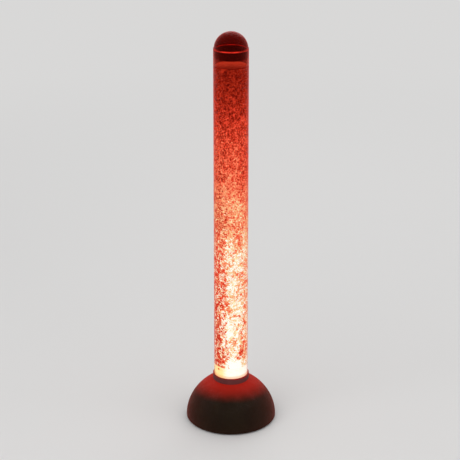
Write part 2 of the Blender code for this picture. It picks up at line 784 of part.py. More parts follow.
def make_feet():
    """Rubber feet pushed into the plate by their stems."""
    for number, _, (x, y) in foot_places():
        foot = turned(
            f"rubber_foot_{number}",
            [
                (0, PLATE_TOP + FOOT_STEM_ABOVE_PLATE),
                (FOOT_STEM_RADIUS, PLATE_TOP + FOOT_STEM_ABOVE_PLATE),
                (FOOT_STEM_RADIUS, FOOT_HEIGHT),
                (FOOT_RADIUS, FOOT_HEIGHT),
                (FOOT_RADIUS, FOOT_TAPER),
                (FOOT_RADIUS - FOOT_TAPER, 0),
                (0, 0),
            ],
            SMALL_SIDES,
        )
        foot.location = (x, y, 0)
        place(foot, "rubber")


def make_base_screws():
    """Pan-head screws that hold the plate to the dome's bosses."""
    head_top = PLATE_BOTTOM - GAP
    head_bottom = head_top - SCREW_HEAD_HEIGHT
    tip = head_top + SCREW_SHANK_LENGTH
    for number, _, (x, y) in screw_places():
        screw = turned(
            f"base_screw_{number}",
            [
                (0, tip),
                (SCREW_SHANK_RADIUS, tip - SCREW_SHANK_RADIUS),
                (SCREW_SHANK_RADIUS, head_top),
                (SCREW_HEAD_RADIUS, head_top),
                (SCREW_HEAD_RADIUS, head_bottom + SCREW_HEAD_ROUND),
                (SCREW_HEAD_RADIUS - SCREW_HEAD_ROUND, head_bottom),
                (0, head_bottom),
            ],
            TINY_SIDES,
        )
        screw.location = (x, y, 0)
        place(screw, "steel")


def make_collar():
    """The ring round the tube at the dome's top, and the rubber seal in the groove under it."""
    bore = TUBE_RADIUS + GAP
    collar = turned(
        "tube_collar",
        [
            (COLLAR_RADIUS - COLLAR_ROUND, COLLAR_TOP),
            (COLLAR_RADIUS, COLLAR_TOP - COLLAR_ROUND),
            (COLLAR_RADIUS, COLLAR_BOTTOM),
            (bore, COLLAR_BOTTOM),
            (bore, COLLAR_TOP),
        ],
        WIDE_SIDES,
    )
    place(collar, "collar")
    seal_outer = NECK_BORE_RADIUS + SEAL_GROOVE_WIDTH - GAP
    seal_low = COLLAR_SEAT - SEAL_GROOVE_DEPTH + GAP
    place(ring("collar_seal", bore, seal_outer, seal_low, COLLAR_SEAT, MIDDLE_SIDES), "rubber")


def make_tube():
    """The clear tube, standing on a gasket on the neck's ledge."""
    tube = ring("bubble_tube", TUBE_BORE_RADIUS, TUBE_RADIUS, TUBE_BOTTOM, TUBE_TOP, WIDE_SIDES)
    place(tube, "acrylic")
    gasket = ring(
        "tube_gasket",
        TUBE_RADIUS - GASKET_WIDTH,
        TUBE_RADIUS,
        GASKET_BOTTOM,
        GASKET_BOTTOM + GASKET_THICKNESS,
        MIDDLE_SIDES,
    )
    place(gasket, "rubber")


def make_end_plug():
    """The clear upturned cup bonded in the tube's foot, which the lights shine through."""
    hole = INLET_STEM_RADIUS + GAP
    plug = turned(
        "tube_end_plug",
        [
            (PLUG_RADIUS, PLUG_TOP),
            (PLUG_RADIUS, TUBE_BOTTOM),
            (PLUG_RADIUS - PLUG_WALL, TUBE_BOTTOM),
            (PLUG_RADIUS - PLUG_WALL, PLUG_CEILING),
            (hole, PLUG_CEILING),
            (hole, PLUG_TOP),
        ],
        MIDDLE_SIDES,
    )
    place(plug, "acrylic")


def make_air_inlet():
    """The hose fitting through the plug, with its washer, nut and the porous disc over it."""
    washer_low = PLUG_TOP + GAP
    washer_high = washer_low + INLET_WASHER_THICKNESS
    flange_low = washer_high + GAP
    flange_high = flange_low + INLET_FLANGE_THICKNESS
    spigot_end = INLET_SHOULDER_Z - SPIGOT_LENGTH
    fitting = turned(
        "air_inlet",
        [
            (INLET_FLANGE_RADIUS, flange_high),
            (INLET_FLANGE_RADIUS, flange_low),
            (INLET_STEM_RADIUS, flange_low),
            (INLET_STEM_RADIUS, INLET_SHOULDER_Z),
            (SPIGOT_RADIUS, INLET_SHOULDER_Z),
            (SPIGOT_RADIUS, spigot_end),
            (INLET_BORE_RADIUS, spigot_end),
            (INLET_BORE_RADIUS, flange_high),
        ],
        SMALL_SIDES,
    )
    place(fitting, "inner")
    stem_hole = INLET_STEM_RADIUS + GAP
    washer = ring(
        "inlet_washer", stem_hole, INLET_FLANGE_RADIUS, washer_low, washer_high, SMALL_SIDES
    )
    place(washer, "rubber")
    nut = rod("inlet_nut", INLET_NUT_RADIUS, NUT_TOP - INLET_NUT_HEIGHT, NUT_TOP, 6)
    bore = rod(
        "inlet_nut_bore",
        stem_hole,
        NUT_TOP - INLET_NUT_HEIGHT - CUT_OVERRUN,
        NUT_TOP + CUT_OVERRUN,
        SMALL_SIDES,
    )
    place(cut(nut, tool(bore)), "inner")
    recess_radius = INLET_FLANGE_RADIUS + GAP
    recess_top = flange_high + GAP
    diffuser_top = washer_low + DIFFUSER_HEIGHT
    diffuser = turned(
        "air_diffuser",
        [
            (0, diffuser_top),
            (DIFFUSER_RADIUS - DIFFUSER_ROUND, diffuser_top),
            (DIFFUSER_RADIUS, diffuser_top - DIFFUSER_ROUND),
            (DIFFUSER_RADIUS, washer_low),
            (recess_radius, washer_low),
            (recess_radius, recess_top),
            (0, recess_top),
        ],
        MIDDLE_SIDES,
    )
    place(diffuser, "stone")


def make_water():
    """The water that fills the tube over the plug, with its raised edge at the wall."""
    radius = TUBE_BORE_RADIUS - GAP
    floor = PLUG_TOP + GAP
    middle_level = WATER_LEVEL - MENISCUS_RISE
    diffuser_side = DIFFUSER_RADIUS + GAP
    diffuser_top = floor + DIFFUSER_HEIGHT + GAP
    water = turned(
        "water_column",
        [
            (0, middle_level),
            (radius - MENISCUS_WIDTH, middle_level),
            (radius, WATER_LEVEL),
            (radius, floor),
            (diffuser_side, floor),
            (diffuser_side, diffuser_top),
            (0, diffuser_top),
        ],
        MIDDLE_SIDES,
    )
    place(water, "water")


def cap_arc(radius, lowest):
    """Points down a hemisphere over the tube's rim, from its pole to a height above the rim."""
    centre = TUBE_TOP + CAP_DOME_CENTRE_ABOVE_RIM
    last = math.asin((TUBE_TOP + lowest - centre) / radius)
    arc = [(0, centre + radius)]
    for index in range(1, CAP_POINTS + 1):
        angle = math.pi / 2 + (last - math.pi / 2) * index / CAP_POINTS
        arc.append((radius * math.cos(angle), centre + radius * math.sin(angle)))
    return arc


def make_cap():
    """The dome cap: a flange on the tube's rim, a skirt plugged into the tube and a hollow dome."""
    flange_top = TUBE_TOP + CAP_FLANGE_TOP_ABOVE_RIM
    flange_bottom = TUBE_TOP + GAP
    skirt_radius = TUBE_BORE_RADIUS - TUBE_FIT
    skirt_inner = skirt_radius - CAP_SKIRT_WALL
    skirt_end = TUBE_TOP - CAP_SKIRT_DEPTH
    outside = cap_arc(CAP_DOME_RADIUS, CAP_FLANGE_TOP_ABOVE_RIM)
    inside = cap_arc(CAP_DOME_RADIUS - CAP_WALL, CAP_FLANGE_TOP_ABOVE_RIM)
    cap = turned(
        "tube_cap",
        outside
        + [
            (TUBE_RADIUS - CAP_FLANGE_ROUND, flange_top),
            (TUBE_RADIUS, flange_top - CAP_FLANGE_ROUND),
            (TUBE_RADIUS, flange_bottom),
            (skirt_radius, flange_bottom),
            (skirt_radius, skirt_end),
            (skirt_inner, skirt_end),
            (skirt_inner, flange_top),
        ]
        + inside[::-1],
        WIDE_SIDES,
    )
    place(cap, "cap")


def make_led_unit():
    """The pedestal inside the plug, the ring board on it and its LED packages."""
    flange_radius = PLUG_RADIUS - PLUG_WALL - GAP
    shelf_low = CARRIER_TOP - CARRIER_WALL
    inner = CARRIER_RADIUS - CARRIER_WALL
    carrier = turned(
        "led_carrier",
        [
            (CARRIER_RADIUS, CARRIER_TOP),
            (CARRIER_RADIUS, CARRIER_BOTTOM + CARRIER_FLANGE_THICKNESS),
            (flange_radius, CARRIER_BOTTOM + CARRIER_FLANGE_THICKNESS),
            (flange_radius, CARRIER_BOTTOM),
            (inner, CARRIER_BOTTOM),
            (inner, shelf_low),
            (CARRIER_RADIUS - CARRIER_SHELF_WIDTH, shelf_low),
            (CARRIER_RADIUS - CARRIER_SHELF_WIDTH, CARRIER_TOP),
        ],
        MIDDLE_SIDES,
    )
    place(carrier, "inner")
    board_top = LED_BOARD_BOTTOM + LED_BOARD_THICKNESS
    board_radius = CARRIER_RADIUS - LED_BOARD_INSET
    board = ring(
        "led_board", LED_BOARD_BORE_RADIUS, board_radius, LED_BOARD_BOTTOM, board_top, MIDDLE_SIDES
    )
    place(board, "board")
    half = LED_WIDTH / 2
    for number, angle, (x, y) in around(LED_COUNT, LED_PITCH_RADIUS):
        package = block(f"led_{number}", (-half, -half, LED_BOTTOM), (half, half, LED_BOTTOM + LED_HEIGHT))
        lens = rod(
            f"led_lens_{number}",
            LED_LENS_RADIUS,
            LED_BOTTOM + LED_HEIGHT - LED_LENS_DEPTH,
            LED_BOTTOM + LED_HEIGHT + CUT_OVERRUN,
            TINY_SIDES,
            (x, y),
        )
        turn = Matrix.Rotation(angle, 4, "Z")
        package.matrix_world = Matrix.Translation((x, y, 0)) @ turn @ Matrix.Translation(package.location)
        place(cut(package, tool(lens)), "led")


def make_pump_case():
    """The pump's open case with its ears, core seats, pivot posts, lid and rubber mounts."""
    half_x, half_y = PUMP_LENGTH / 2, PUMP_WIDTH / 2
    case = block(
        "pump_case", (-half_x, -half_y, PUMP_BOTTOM), (half_x, half_y, PUMP_TOP), PUMP_CORNER
    )
    ear_top = PUMP_FLOOR
    for number, (x, y) in pump_mount_places():
        ear = rod(f"ear_{number}", EAR_RADIUS, PUMP_BOTTOM, ear_top, SMALL_SIDES, (x, y))
        arm_end = half_y - PUMP_WALL / 2
        web = block(
            f"ear_web_{number}",
            (x - EAR_RADIUS, min(y, math.copysign(arm_end, y)), PUMP_BOTTOM),
            (x + EAR_RADIUS, max(y, math.copysign(arm_end, y)), ear_top),
        )
        join(case, tool(ear), tool(web))
    hollow = block(
        "case_hollow",
        (-half_x + PUMP_WALL, -half_y + PUMP_WALL, PUMP_FLOOR),
        (half_x - PUMP_WALL, half_y - PUMP_WALL, PUMP_TOP + CUT_OVERRUN),
        PUMP_CORNER - PUMP_WALL,
    )
    cut(case, tool(hollow))
    for number, spot in pump_mount_places():
        hole = rod(
            f"ear_hole_{number}",
            MOUNT_PIN_RADIUS + GAP,
            PUMP_BOTTOM - CUT_OVERRUN,
            ear_top + CUT_OVERRUN,
            TINY_SIDES,
            spot,
        )
        cut(case, tool(hole))
    for label, x in (("rear", CORE_REAR_X + CORE_SEAT_WIDTH), ("front", CORE_FACE_X - CORE_SEAT_WIDTH)):
        seat = standing_block(
            f"core_seat_{label}",
            (x, 0),
            (CORE_SEAT_WIDTH, CORE_DEPTH),
            PUMP_FLOOR - SINK,
            PUMP_FLOOR + CORE_SEAT_HEIGHT,
        )
        join(case, tool(seat))
    post_top = PUMP_AXIS_Z + POST_ABOVE_PIVOT
    post_y = ARM_WIDTH / 2 + POST_SIDE_CLEARANCE + POST_THICKNESS / 2
    for label, y in (("left", -post_y), ("right", post_y)):
        post = standing_block(
            f"pivot_post_{label}",
            (PIVOT_X, y),
            (POST_WIDTH, POST_THICKNESS),
            PUMP_FLOOR - SINK,
            post_top,
        )
        join(case, tool(post))
    reach = post_y + POST_THICKNESS
    pin_bore = rod("pin_bore", PIVOT_PIN_RADIUS + GAP, -reach, reach, SMALL_SIDES)
    pin_bore.matrix_world = Matrix.Translation((PIVOT_X, 0, PUMP_AXIS_Z)) @ TURN_Z_TO_Y
    nozzle_hole = rod(
        "nozzle_hole", NOZZLE_RADIUS + GAP, -PUMP_WALL - CUT_OVERRUN, CUT_OVERRUN, SMALL_SIDES
    )
    nozzle_hole.matrix_world = Matrix.Translation((half_x, 0, NOZZLE_Z)) @ TURN_Z_TO_X
    cable_hole = rod("case_cable_hole", CABLE_HOLE_RADIUS, -PUMP_WALL - CUT_OVERRUN, CUT_OVERRUN, TINY_SIDES)
    x, z = pump_cable_entry()
    cable_hole.matrix_world = Matrix.Translation((x, half_y, z)) @ TURN_Z_TO_Y
    cut(case, tool(pin_bore), tool(nozzle_hole), tool(cable_hole))
    place(case, "plate")
    make_pump_lid()
    for number, (x, y) in pump_mount_places():
        low = PLATE_TOP + GAP
        grommet = ring(
            f"pump_grommet_{number}",
            MOUNT_PIN_RADIUS + GAP,
            GROMMET_RADIUS,
            low,
            low + GROMMET_HEIGHT,
            TINY_SIDES,
        )
        grommet.location = (x, y, 0)
        place(grommet, "rubber")


def make_pump_lid():
    """The pump's lid, with a lip that sits inside the case and the clip for the one-way valve."""
    half_x, half_y = PUMP_LENGTH / 2, PUMP_WIDTH / 2
    lid = block("pump_lid", (-half_x, -half_y, LID_BOTTOM), (half_x, half_y, LID_TOP), PUMP_CORNER)
    inset = PUMP_WALL + GAP
    lip = block(
        "lid_lip",
        (-half_x + inset, -half_y + inset, LID_BOTTOM - PUMP_LID_LIP_DEPTH),
        (half_x - inset, half_y - inset, LID_BOTTOM + SINK),
        PUMP_CORNER - inset,
    )
    inner = inset + PUMP_LID_LIP_WALL
    lip_hollow = block(
        "lid_lip_hollow",
        (-half_x + inner, -half_y + inner, LID_BOTTOM - PUMP_LID_LIP_DEPTH - CUT_OVERRUN),
        (half_x - inner, half_y - inner, LID_BOTTOM),
    )
    join(lid, tool(lip))
    cut(lid, tool(lip_hollow))
    join(lid, *make_valve_clip())
    place(lid, "plate")


def make_valve_clip():
    """A post on the lid with a snap ring, open above, that holds the one-way valve."""
    ring_outer = CHECK_VALVE_RADIUS + GAP + CLIP_WALL
    half = CLIP_WIDTH / 2
    snap = ring("clip_ring", CHECK_VALVE_RADIUS + GAP, ring_outer, -half, half, SMALL_SIDES)
    snap.matrix_world = Matrix.Translation((CHECK_VALVE_X, 0, HOSE_CROSSING_Z)) @ TURN_Z_TO_X
    mouth = block(
        "clip_mouth",
        (CHECK_VALVE_X - half - CUT_OVERRUN, -CLIP_MOUTH / 2, HOSE_CROSSING_Z),
        (CHECK_VALVE_X + half + CUT_OVERRUN, CLIP_MOUTH / 2, HOSE_CROSSING_Z + ring_outer + CUT_OVERRUN),
    )
    cut(snap, tool(mouth))
    post = standing_block(
        "clip_post",
        (CHECK_VALVE_X, 0),
        (CLIP_POST_WIDTH, CLIP_POST_WIDTH),
        LID_TOP - SINK,
        HOSE_CROSSING_Z - ring_outer + CLIP_POST_SINK,
    )
    return tool(post), tool(snap)


def make_electromagnet():
    """The E-shaped core, the bobbin on its middle leg and the copper winding on the bobbin."""
    core = block(
        "magnet_core",
        (CORE_REAR_X, -CORE_DEPTH / 2, CORE_BOTTOM),
        (CORE_FACE_X, CORE_DEPTH / 2, CORE_BOTTOM + CORE_HEIGHT),
    )
    window_x = CORE_REAR_X + CORE_BACK
    for label, low in (
        ("lower", CORE_BOTTOM + CORE_OUTER_LEG),
        ("upper", CORE_BOTTOM + CORE_OUTER_LEG + CORE_WINDOW + CORE_MIDDLE_LEG),
    ):
        window = block(
            f"core_window_{label}",
            (window_x, -CORE_DEPTH / 2 - CUT_OVERRUN, low),
            (CORE_FACE_X + CUT_OVERRUN, CORE_DEPTH / 2 + CUT_OVERRUN, low + CORE_WINDOW),
        )
        cut(core, tool(window))
    place(core, "steel")
    leg_y = CORE_DEPTH / 2 + GAP
    leg_z = CORE_MIDDLE_LEG / 2 + GAP
    flange_z = CORE_MIDDLE_LEG / 2 + CORE_WINDOW - GAP
    flange_y = CORE_DEPTH / 2 + COIL_SIDE_DEPTH
    start = window_x + GAP
    end = CORE_FACE_X - BOBBIN_FLANGE_SPARE
    bobbin = coil_block("coil_bobbin", start, end, flange_y, flange_z, COIL_CORNER)
    spool_y, spool_z = leg_y + BOBBIN_WALL, leg_z + BOBBIN_WALL
    winding_start, winding_end = start + BOBBIN_WALL, end - BOBBIN_WALL
    groove = coil_block(
        "bobbin_groove", winding_start, winding_end, flange_y + CUT_OVERRUN, flange_z + CUT_OVERRUN
    )
    spool = coil_block(
        "bobbin_spool", start - CUT_OVERRUN, end + CUT_OVERRUN, spool_y, spool_z
    )
    cut(groove, tool(spool))
    leg_hole = coil_block("bobbin_leg_hole", start - CUT_OVERRUN, end + CUT_OVERRUN, leg_y, leg_z)
    cut(bobbin, tool(groove), tool(leg_hole))
    place(bobbin, "inner")
    winding = coil_block(
        "coil_winding",
        winding_start + GAP,
        winding_end - GAP,
        flange_y - WINDING_BELOW_FLANGE,
        flange_z - WINDING_BELOW_FLANGE,
        COIL_CORNER,
    )
    winding_hole = coil_block("winding_hole", start, end, spool_y + GAP, spool_z + GAP)
    cut(winding, tool(winding_hole))
    place(winding, "copper")


def coil_block(name, start, end, half_y, half_z, corner=0.0):
    """A box round the middle leg's axis, between two places along it."""
    return block(
        name,
        (start, -half_y, PUMP_AXIS_Z - half_z),
        (end, half_y, PUMP_AXIS_Z + half_z),
        corner,
        RIGHT,
    )


def make_pump_arm():
    """The swinging arm about its pin, with the magnet at its free end. Its origin is on the pivot's axis."""
    half = ARM_THICKNESS / 2
    holder = ARM_HOLDER_HEIGHT / 2
    tip = -ARM_LENGTH
    outline = [(tip, holder), (tip + ARM_HOLDER_THICKNESS, holder), (tip + ARM_HOLDER_THICKNESS, half)]
    start = math.pi - math.asin(half / ARM_EYE_RADIUS)
    for index in range(TINY_SIDES + 1):
        angle = start - 2 * start * index / TINY_SIDES
        outline.append((ARM_EYE_RADIUS * math.cos(angle), ARM_EYE_RADIUS * math.sin(angle)))
    outline += [(tip + ARM_HOLDER_THICKNESS, -half), (tip + ARM_HOLDER_THICKNESS, -holder), (tip, -holder)]
    arm = outline_plate("pump_arm", outline, ARM_WIDTH)
    pivot = Matrix.Translation((PIVOT_X, 0, PUMP_AXIS_Z))
    arm.matrix_world = pivot @ arm.matrix_world
    bore = rod("arm_bore", PIVOT_PIN_RADIUS + RUNNING_CLEARANCE, -ARM_WIDTH, ARM_WIDTH, SMALL_SIDES)
    bore.matrix_world = pivot @ TURN_Z_TO_Y
    cut(arm, tool(bore))
    place(arm, "inner")
    face = PIVOT_X + tip - GAP
    magnet = block(
        "arm_magnet",
        (face - MAGNET_THICKNESS, -ARM_WIDTH / 2, PUMP_AXIS_Z - MAGNET_HEIGHT / 2),
        (face, ARM_WIDTH / 2, PUMP_AXIS_Z + MAGNET_HEIGHT / 2),
    )
    place(magnet, "steel")
    reach = ARM_WIDTH / 2 + POST_SIDE_CLEARANCE + POST_THICKNESS
    pin = rod("arm_pin", PIVOT_PIN_RADIUS, -reach, reach, SMALL_SIDES)
    pin.matrix_world = pivot @ TURN_Z_TO_Y
    place(pin, "steel")


def make_air_chamber():
    """The rubber diaphragm under the arm, and the valve block with its outlet nozzle."""
    top = PUMP_AXIS_Z - ARM_THICKNESS / 2 - GAP
    lip_low = VALVE_BLOCK_TOP + GAP
    lip_high = lip_low + DIAPHRAGM_LIP_HEIGHT
    lip_inner = DIAPHRAGM_RADIUS - DIAPHRAGM_LIP_WIDTH
    diaphragm = turned(
        "pump_diaphragm",
        [
            (0, top),
            (DIAPHRAGM_BOSS_RADIUS, top),
            (lip_inner, lip_high),
            (DIAPHRAGM_RADIUS, lip_high),
            (DIAPHRAGM_RADIUS, lip_low),
            (lip_inner, lip_low),
            (lip_inner, lip_high - DIAPHRAGM_WALL),
            (DIAPHRAGM_BOSS_RADIUS, top - DIAPHRAGM_WALL),
            (0, top - DIAPHRAGM_WALL),
        ],
        SMALL_SIDES,
    )
    diaphragm.location = (DIAPHRAGM_X, 0, 0)
    place(diaphragm, "rubber")
    half = VALVE_BLOCK_WIDTH / 2
    valve = block(
        "valve_block",
        (DIAPHRAGM_X - half, -half, VALVE_BLOCK_BOTTOM),
        (DIAPHRAGM_X + half, half, VALVE_BLOCK_TOP),
        VALVE_BLOCK_CORNER,
    )
    spigot_end = NOZZLE_SHOULDER_X + SPIGOT_LENGTH
    nozzle = turned(
        "nozzle",
        [
            (0, spigot_end),
            (SPIGOT_RADIUS, spigot_end),
            (SPIGOT_RADIUS, NOZZLE_SHOULDER_X),
            (NOZZLE_RADIUS, NOZZLE_SHOULDER_X),
            (NOZZLE_RADIUS, DIAPHRAGM_X),
            (0, DIAPHRAGM_X),
        ],
        SMALL_SIDES,
    )
    nozzle.matrix_world = Matrix.Translation((0, 0, NOZZLE_Z)) @ TURN_Z_TO_X
    passage = rod("air_passage", SPIGOT_BORE_RADIUS, DIAPHRAGM_X, spigot_end + CUT_OVERRUN, TINY_SIDES)
    passage.matrix_world = Matrix.Translation((0, 0, NOZZLE_Z)) @ TURN_Z_TO_X
    port = rod(
        "air_port",
        SPIGOT_BORE_RADIUS + GAP,
        NOZZLE_Z,
        VALVE_BLOCK_TOP + CUT_OVERRUN,
        TINY_SIDES,
        (DIAPHRAGM_X, 0),
    )
    join(valve, tool(nozzle))
    cut(valve, tool(passage), tool(port))
    place(valve, "inner")


def make_hose(name, stations):
    """A hose with its bore along a smooth route, its ends square to what they meet."""
    points = route(stations, HOSE_STEPS)
    hose = swept(name, points, HOSE_RADIUS)
    first, first_way = stations[0]
    last, last_way = stations[-1]
    inner = [first - first_way * CUT_OVERRUN] + points + [last + last_way * CUT_OVERRUN]
    cut(hose, tool(swept(f"{name}_bore", inner, HOSE_BORE_RADIUS)))
    place(hose, "silicone")


def make_air_line():
    """The two hoses and the one-way valve between the pump's nozzle and the plug's inlet."""
    spigot_run = SPIGOT_LENGTH + GAP
    bend_x = NOZZLE_SHOULDER_X + spigot_run
    level = UP * HOSE_CROSSING_Z
    make_hose(
        "air_hose_lower",
        [
            (Vector((NOZZLE_SHOULDER_X + GAP, 0, NOZZLE_Z)), RIGHT),
            (Vector((bend_x, 0, NOZZLE_Z)), RIGHT),
            (Vector((bend_x + HOSE_BEND, 0, NOZZLE_Z + HOSE_BEND)), UP),
            (RIGHT * bend_x + level, LEFT),
            (RIGHT * (CHECK_VALVE_INLET_X + GAP) + level, LEFT),
        ],
    )
    make_hose(
        "air_hose_upper",
        [
            (RIGHT * (CHECK_VALVE_OUTLET_X - GAP) + level, LEFT),
            (RIGHT * HOSE_INNER_BEND + level, LEFT),
            (level + UP * HOSE_INNER_BEND, UP),
            (UP * (INLET_SHOULDER_Z - GAP), UP),
        ],
    )
    body = CHECK_VALVE_LENGTH / 2
    shoulder = body + CHECK_VALVE_SHOULDER
    end = shoulder + SPIGOT_LENGTH
    half_profile = [
        (0, end),
        (SPIGOT_RADIUS, end),
        (SPIGOT_RADIUS, shoulder),
        (HOSE_RADIUS, shoulder),
        (HOSE_RADIUS, body),
        (CHECK_VALVE_RADIUS - CHECK_VALVE_ROUND, body),
        (CHECK_VALVE_RADIUS, body - CHECK_VALVE_ROUND),
    ]
    mirrored = [(radius, -height) for radius, height in half_profile[::-1]]
    valve = turned("check_valve", half_profile + mirrored, SMALL_SIDES)
    valve.matrix_world = Matrix.Translation((CHECK_VALVE_X, 0, HOSE_CROSSING_Z)) @ TURN_Z_TO_X
    place(valve, "inner")


def make_panel_nut(name, x, barrel_radius):
    """A six-sided nut behind the pocket's wall, round a fitting's barrel."""
    nut = rod(name, barrel_radius + NUT_MARGIN, -NUT_THICKNESS, 0, 6)
    bore = rod(f"{name}_bore", barrel_radius + GAP, -NUT_THICKNESS - CUT_OVERRUN, CUT_OVERRUN, SMALL_SIDES)
    facing_back(bore, x, PANEL_INNER_Y - GAP)
    cut(facing_back(nut, x, PANEL_INNER_Y - GAP), tool(bore))
    place(nut, "inner")


def make_inlet_socket():
    """The low-voltage inlet in the pocket: a flanged barrel with a deep bore and a centre pin."""
    socket = turned(
        "dc_socket",
        [
            (0, SOCKET_FLANGE_THICKNESS - SOCKET_PIN_RECESS),
            (SOCKET_PIN_RADIUS, SOCKET_FLANGE_THICKNESS - SOCKET_PIN_RECESS),
            (SOCKET_PIN_RADIUS, SOCKET_FLANGE_THICKNESS - SOCKET_BORE_DEPTH),
            (SOCKET_BORE_RADIUS, SOCKET_FLANGE_THICKNESS - SOCKET_BORE_DEPTH),
            (SOCKET_BORE_RADIUS, SOCKET_FLANGE_THICKNESS),
            (SOCKET_FLANGE_RADIUS, SOCKET_FLANGE_THICKNESS),
            (SOCKET_FLANGE_RADIUS, 0),
            (SOCKET_BARREL_RADIUS, 0),
            (SOCKET_BARREL_RADIUS, -SOCKET_BARREL_LENGTH),
            (0, -SOCKET_BARREL_LENGTH),
        ],
        SMALL_SIDES,
    )
    place(facing_back(socket, SOCKET_X, FITTING_Y), "plate")
    make_panel_nut("dc_socket_nut", SOCKET_X, SOCKET_BARREL_RADIUS)


def make_button():
    """The push button in its bezel, with its return spring and the switch behind it."""
    bore = BUTTON_RADIUS + GAP
    stem_hole = BUTTON_STEM_RADIUS + GAP
    shoulder_top = BEZEL_FLANGE_THICKNESS - BEZEL_SHOULDER_DEPTH - GAP
    shoulder_bottom = shoulder_top - BEZEL_SHOULDER_THICKNESS
    bezel = turned(
        "button_bezel",
        [
            (BEZEL_FLANGE_RADIUS, BEZEL_FLANGE_THICKNESS),
            (BEZEL_FLANGE_RADIUS, 0),
            (BEZEL_BARREL_RADIUS, 0),
            (BEZEL_BARREL_RADIUS, -BEZEL_BARREL_LENGTH),
            (BEZEL_REAR_BORE_RADIUS, -BEZEL_BARREL_LENGTH),
            (BEZEL_REAR_BORE_RADIUS, shoulder_bottom),
            (stem_hole, shoulder_bottom),
            (stem_hole, shoulder_top),
            (bore, shoulder_top),
            (bore, BEZEL_FLANGE_THICKNESS),
        ],
        SMALL_SIDES,
    )
    place(facing_back(bezel, BUTTON_X, FITTING_Y), "plate")
    make_panel_nut("bezel_nut", BUTTON_X, BEZEL_BARREL_RADIUS)
    front = BEZEL_FLANGE_THICKNESS + BUTTON_PROUD
    cap_end = front - BUTTON_CAP_LENGTH
    hook_top = shoulder_bottom - GAP
    hook_end = hook_top - BUTTON_HOOK_LENGTH
    button = turned(
        "push_button",
        [
            (0, front),
            (BUTTON_RADIUS - BUTTON_ROUND, front),
            (BUTTON_RADIUS, front - BUTTON_ROUND),
            (BUTTON_RADIUS, cap_end),
            (BUTTON_STEM_RADIUS, cap_end),
            (BUTTON_STEM_RADIUS, hook_top),
            (BUTTON_HOOK_RADIUS, hook_top),
            (BUTTON_HOOK_RADIUS, hook_end),
            (0, hook_end),
        ],
        SMALL_SIDES,
    )
    place(facing_back(button, BUTTON_X, FITTING_Y), "button")
    make_button_spring(shoulder_top, cap_end)
    switch_face = FITTING_Y - BEZEL_BARREL_LENGTH - GAP
    half = SWITCH_WIDTH / 2
    switch = block(
        "switch_body",
        (BUTTON_X - half, switch_face - SWITCH_DEPTH, POCKET_MIDDLE_Z - half),
        (BUTTON_X + half, switch_face, POCKET_MIDDLE_Z + half),
    )
    plunger = rod(
        "switch_plunger",
        SWITCH_PLUNGER_RADIUS,
        -BEZEL_BARREL_LENGTH - GAP - SINK,
        hook_end - BUTTON_TRAVEL - GAP,
        TINY_SIDES,
    )
    join(switch, tool(facing_back(plunger, BUTTON_X, FITTING_Y)))
    place(switch, "plate")


def make_button_spring(seat, cap_end):
    """The small coil spring between the bezel's shoulder and the button's cap."""
    low = seat + GAP + BUTTON_SPRING_WIRE_RADIUS
    high = cap_end - GAP - BUTTON_SPRING_WIRE_RADIUS
    coil_radius = (BUTTON_STEM_RADIUS + BUTTON_RADIUS) / 2
    points = []
    steps = BUTTON_SPRING_TURNS * TINY_SIDES
    for index in range(steps + 1):
        angle = 2 * math.pi * index / TINY_SIDES
        height = low + (high - low) * index / steps
        points.append((coil_radius * math.cos(angle), coil_radius * math.sin(angle), height))
    spring = swept("button_spring", points, BUTTON_SPRING_WIRE_RADIUS)
    place(facing_back(spring, BUTTON_X, FITTING_Y), "steel")


def connector_places():
    """Where each cable's connector stands on the control board, by the cable's name."""
    near = BOARD_FROM_AXIS - BOARD_DEPTH / 2 + CONNECTOR_DEPTH / 2
    far = BOARD_FROM_AXIS + BOARD_DEPTH / 2 - CONNECTOR_DEPTH / 2
    return {
        "pump_cable": (-CONNECTOR_WIDTH - CONNECTOR_WIDTH / 2, near),
        "led_cable": (CONNECTOR_WIDTH / 2, near),
        "dc_cable": (SOCKET_X, far),
        "switch_cable": (BUTTON_X, far),
    }


def make_control_board():
    """The control board with its connectors, capacitor and chip."""
    board = standing_block(
        "control_board",
        (0, BOARD_FROM_AXIS),
        (BOARD_WIDTH, BOARD_DEPTH),
        BOARD_BOTTOM,
        BOARD_TOP,
    )
    low = BOARD_TOP - SINK
    for name, spot in connector_places().items():
        connector = standing_block(
            f"{name}_connector",
            spot,
            (CONNECTOR_WIDTH, CONNECTOR_DEPTH),
            low,
            BOARD_TOP + CONNECTOR_HEIGHT,
        )
        join(board, tool(connector))
    capacitor = rod(
        "capacitor",
        CAPACITOR_RADIUS,
        low,
        BOARD_TOP + CAPACITOR_HEIGHT,
        TINY_SIDES,
        (BOARD_WIDTH / 2 - 2 * BOARD_POST_INSET - CAPACITOR_RADIUS, BOARD_FROM_AXIS),
    )
    chip = standing_block(
        "chip", (SOCKET_X, BOARD_FROM_AXIS), (CHIP_WIDTH, CHIP_WIDTH), low, BOARD_TOP + CHIP_HEIGHT
    )
    join(board, tool(capacitor), tool(chip))
    for number, spot in enumerate(board_post_places(), start=1):
        hole = rod(
            f"board_hole_{number}",
            BOARD_PIN_RADIUS + GAP,
            BOARD_BOTTOM - CUT_OVERRUN,
            BOARD_TOP + CUT_OVERRUN,
            TINY_SIDES,
            spot,
        )
        cut(board, tool(hole))
    place(board, "board")


def pump_cable_entry():
    """Where the pump's cable passes the case's side wall, along X and up."""
    return (CORE_REAR_X + CORE_FACE_X) / 2, PUMP_AXIS_Z


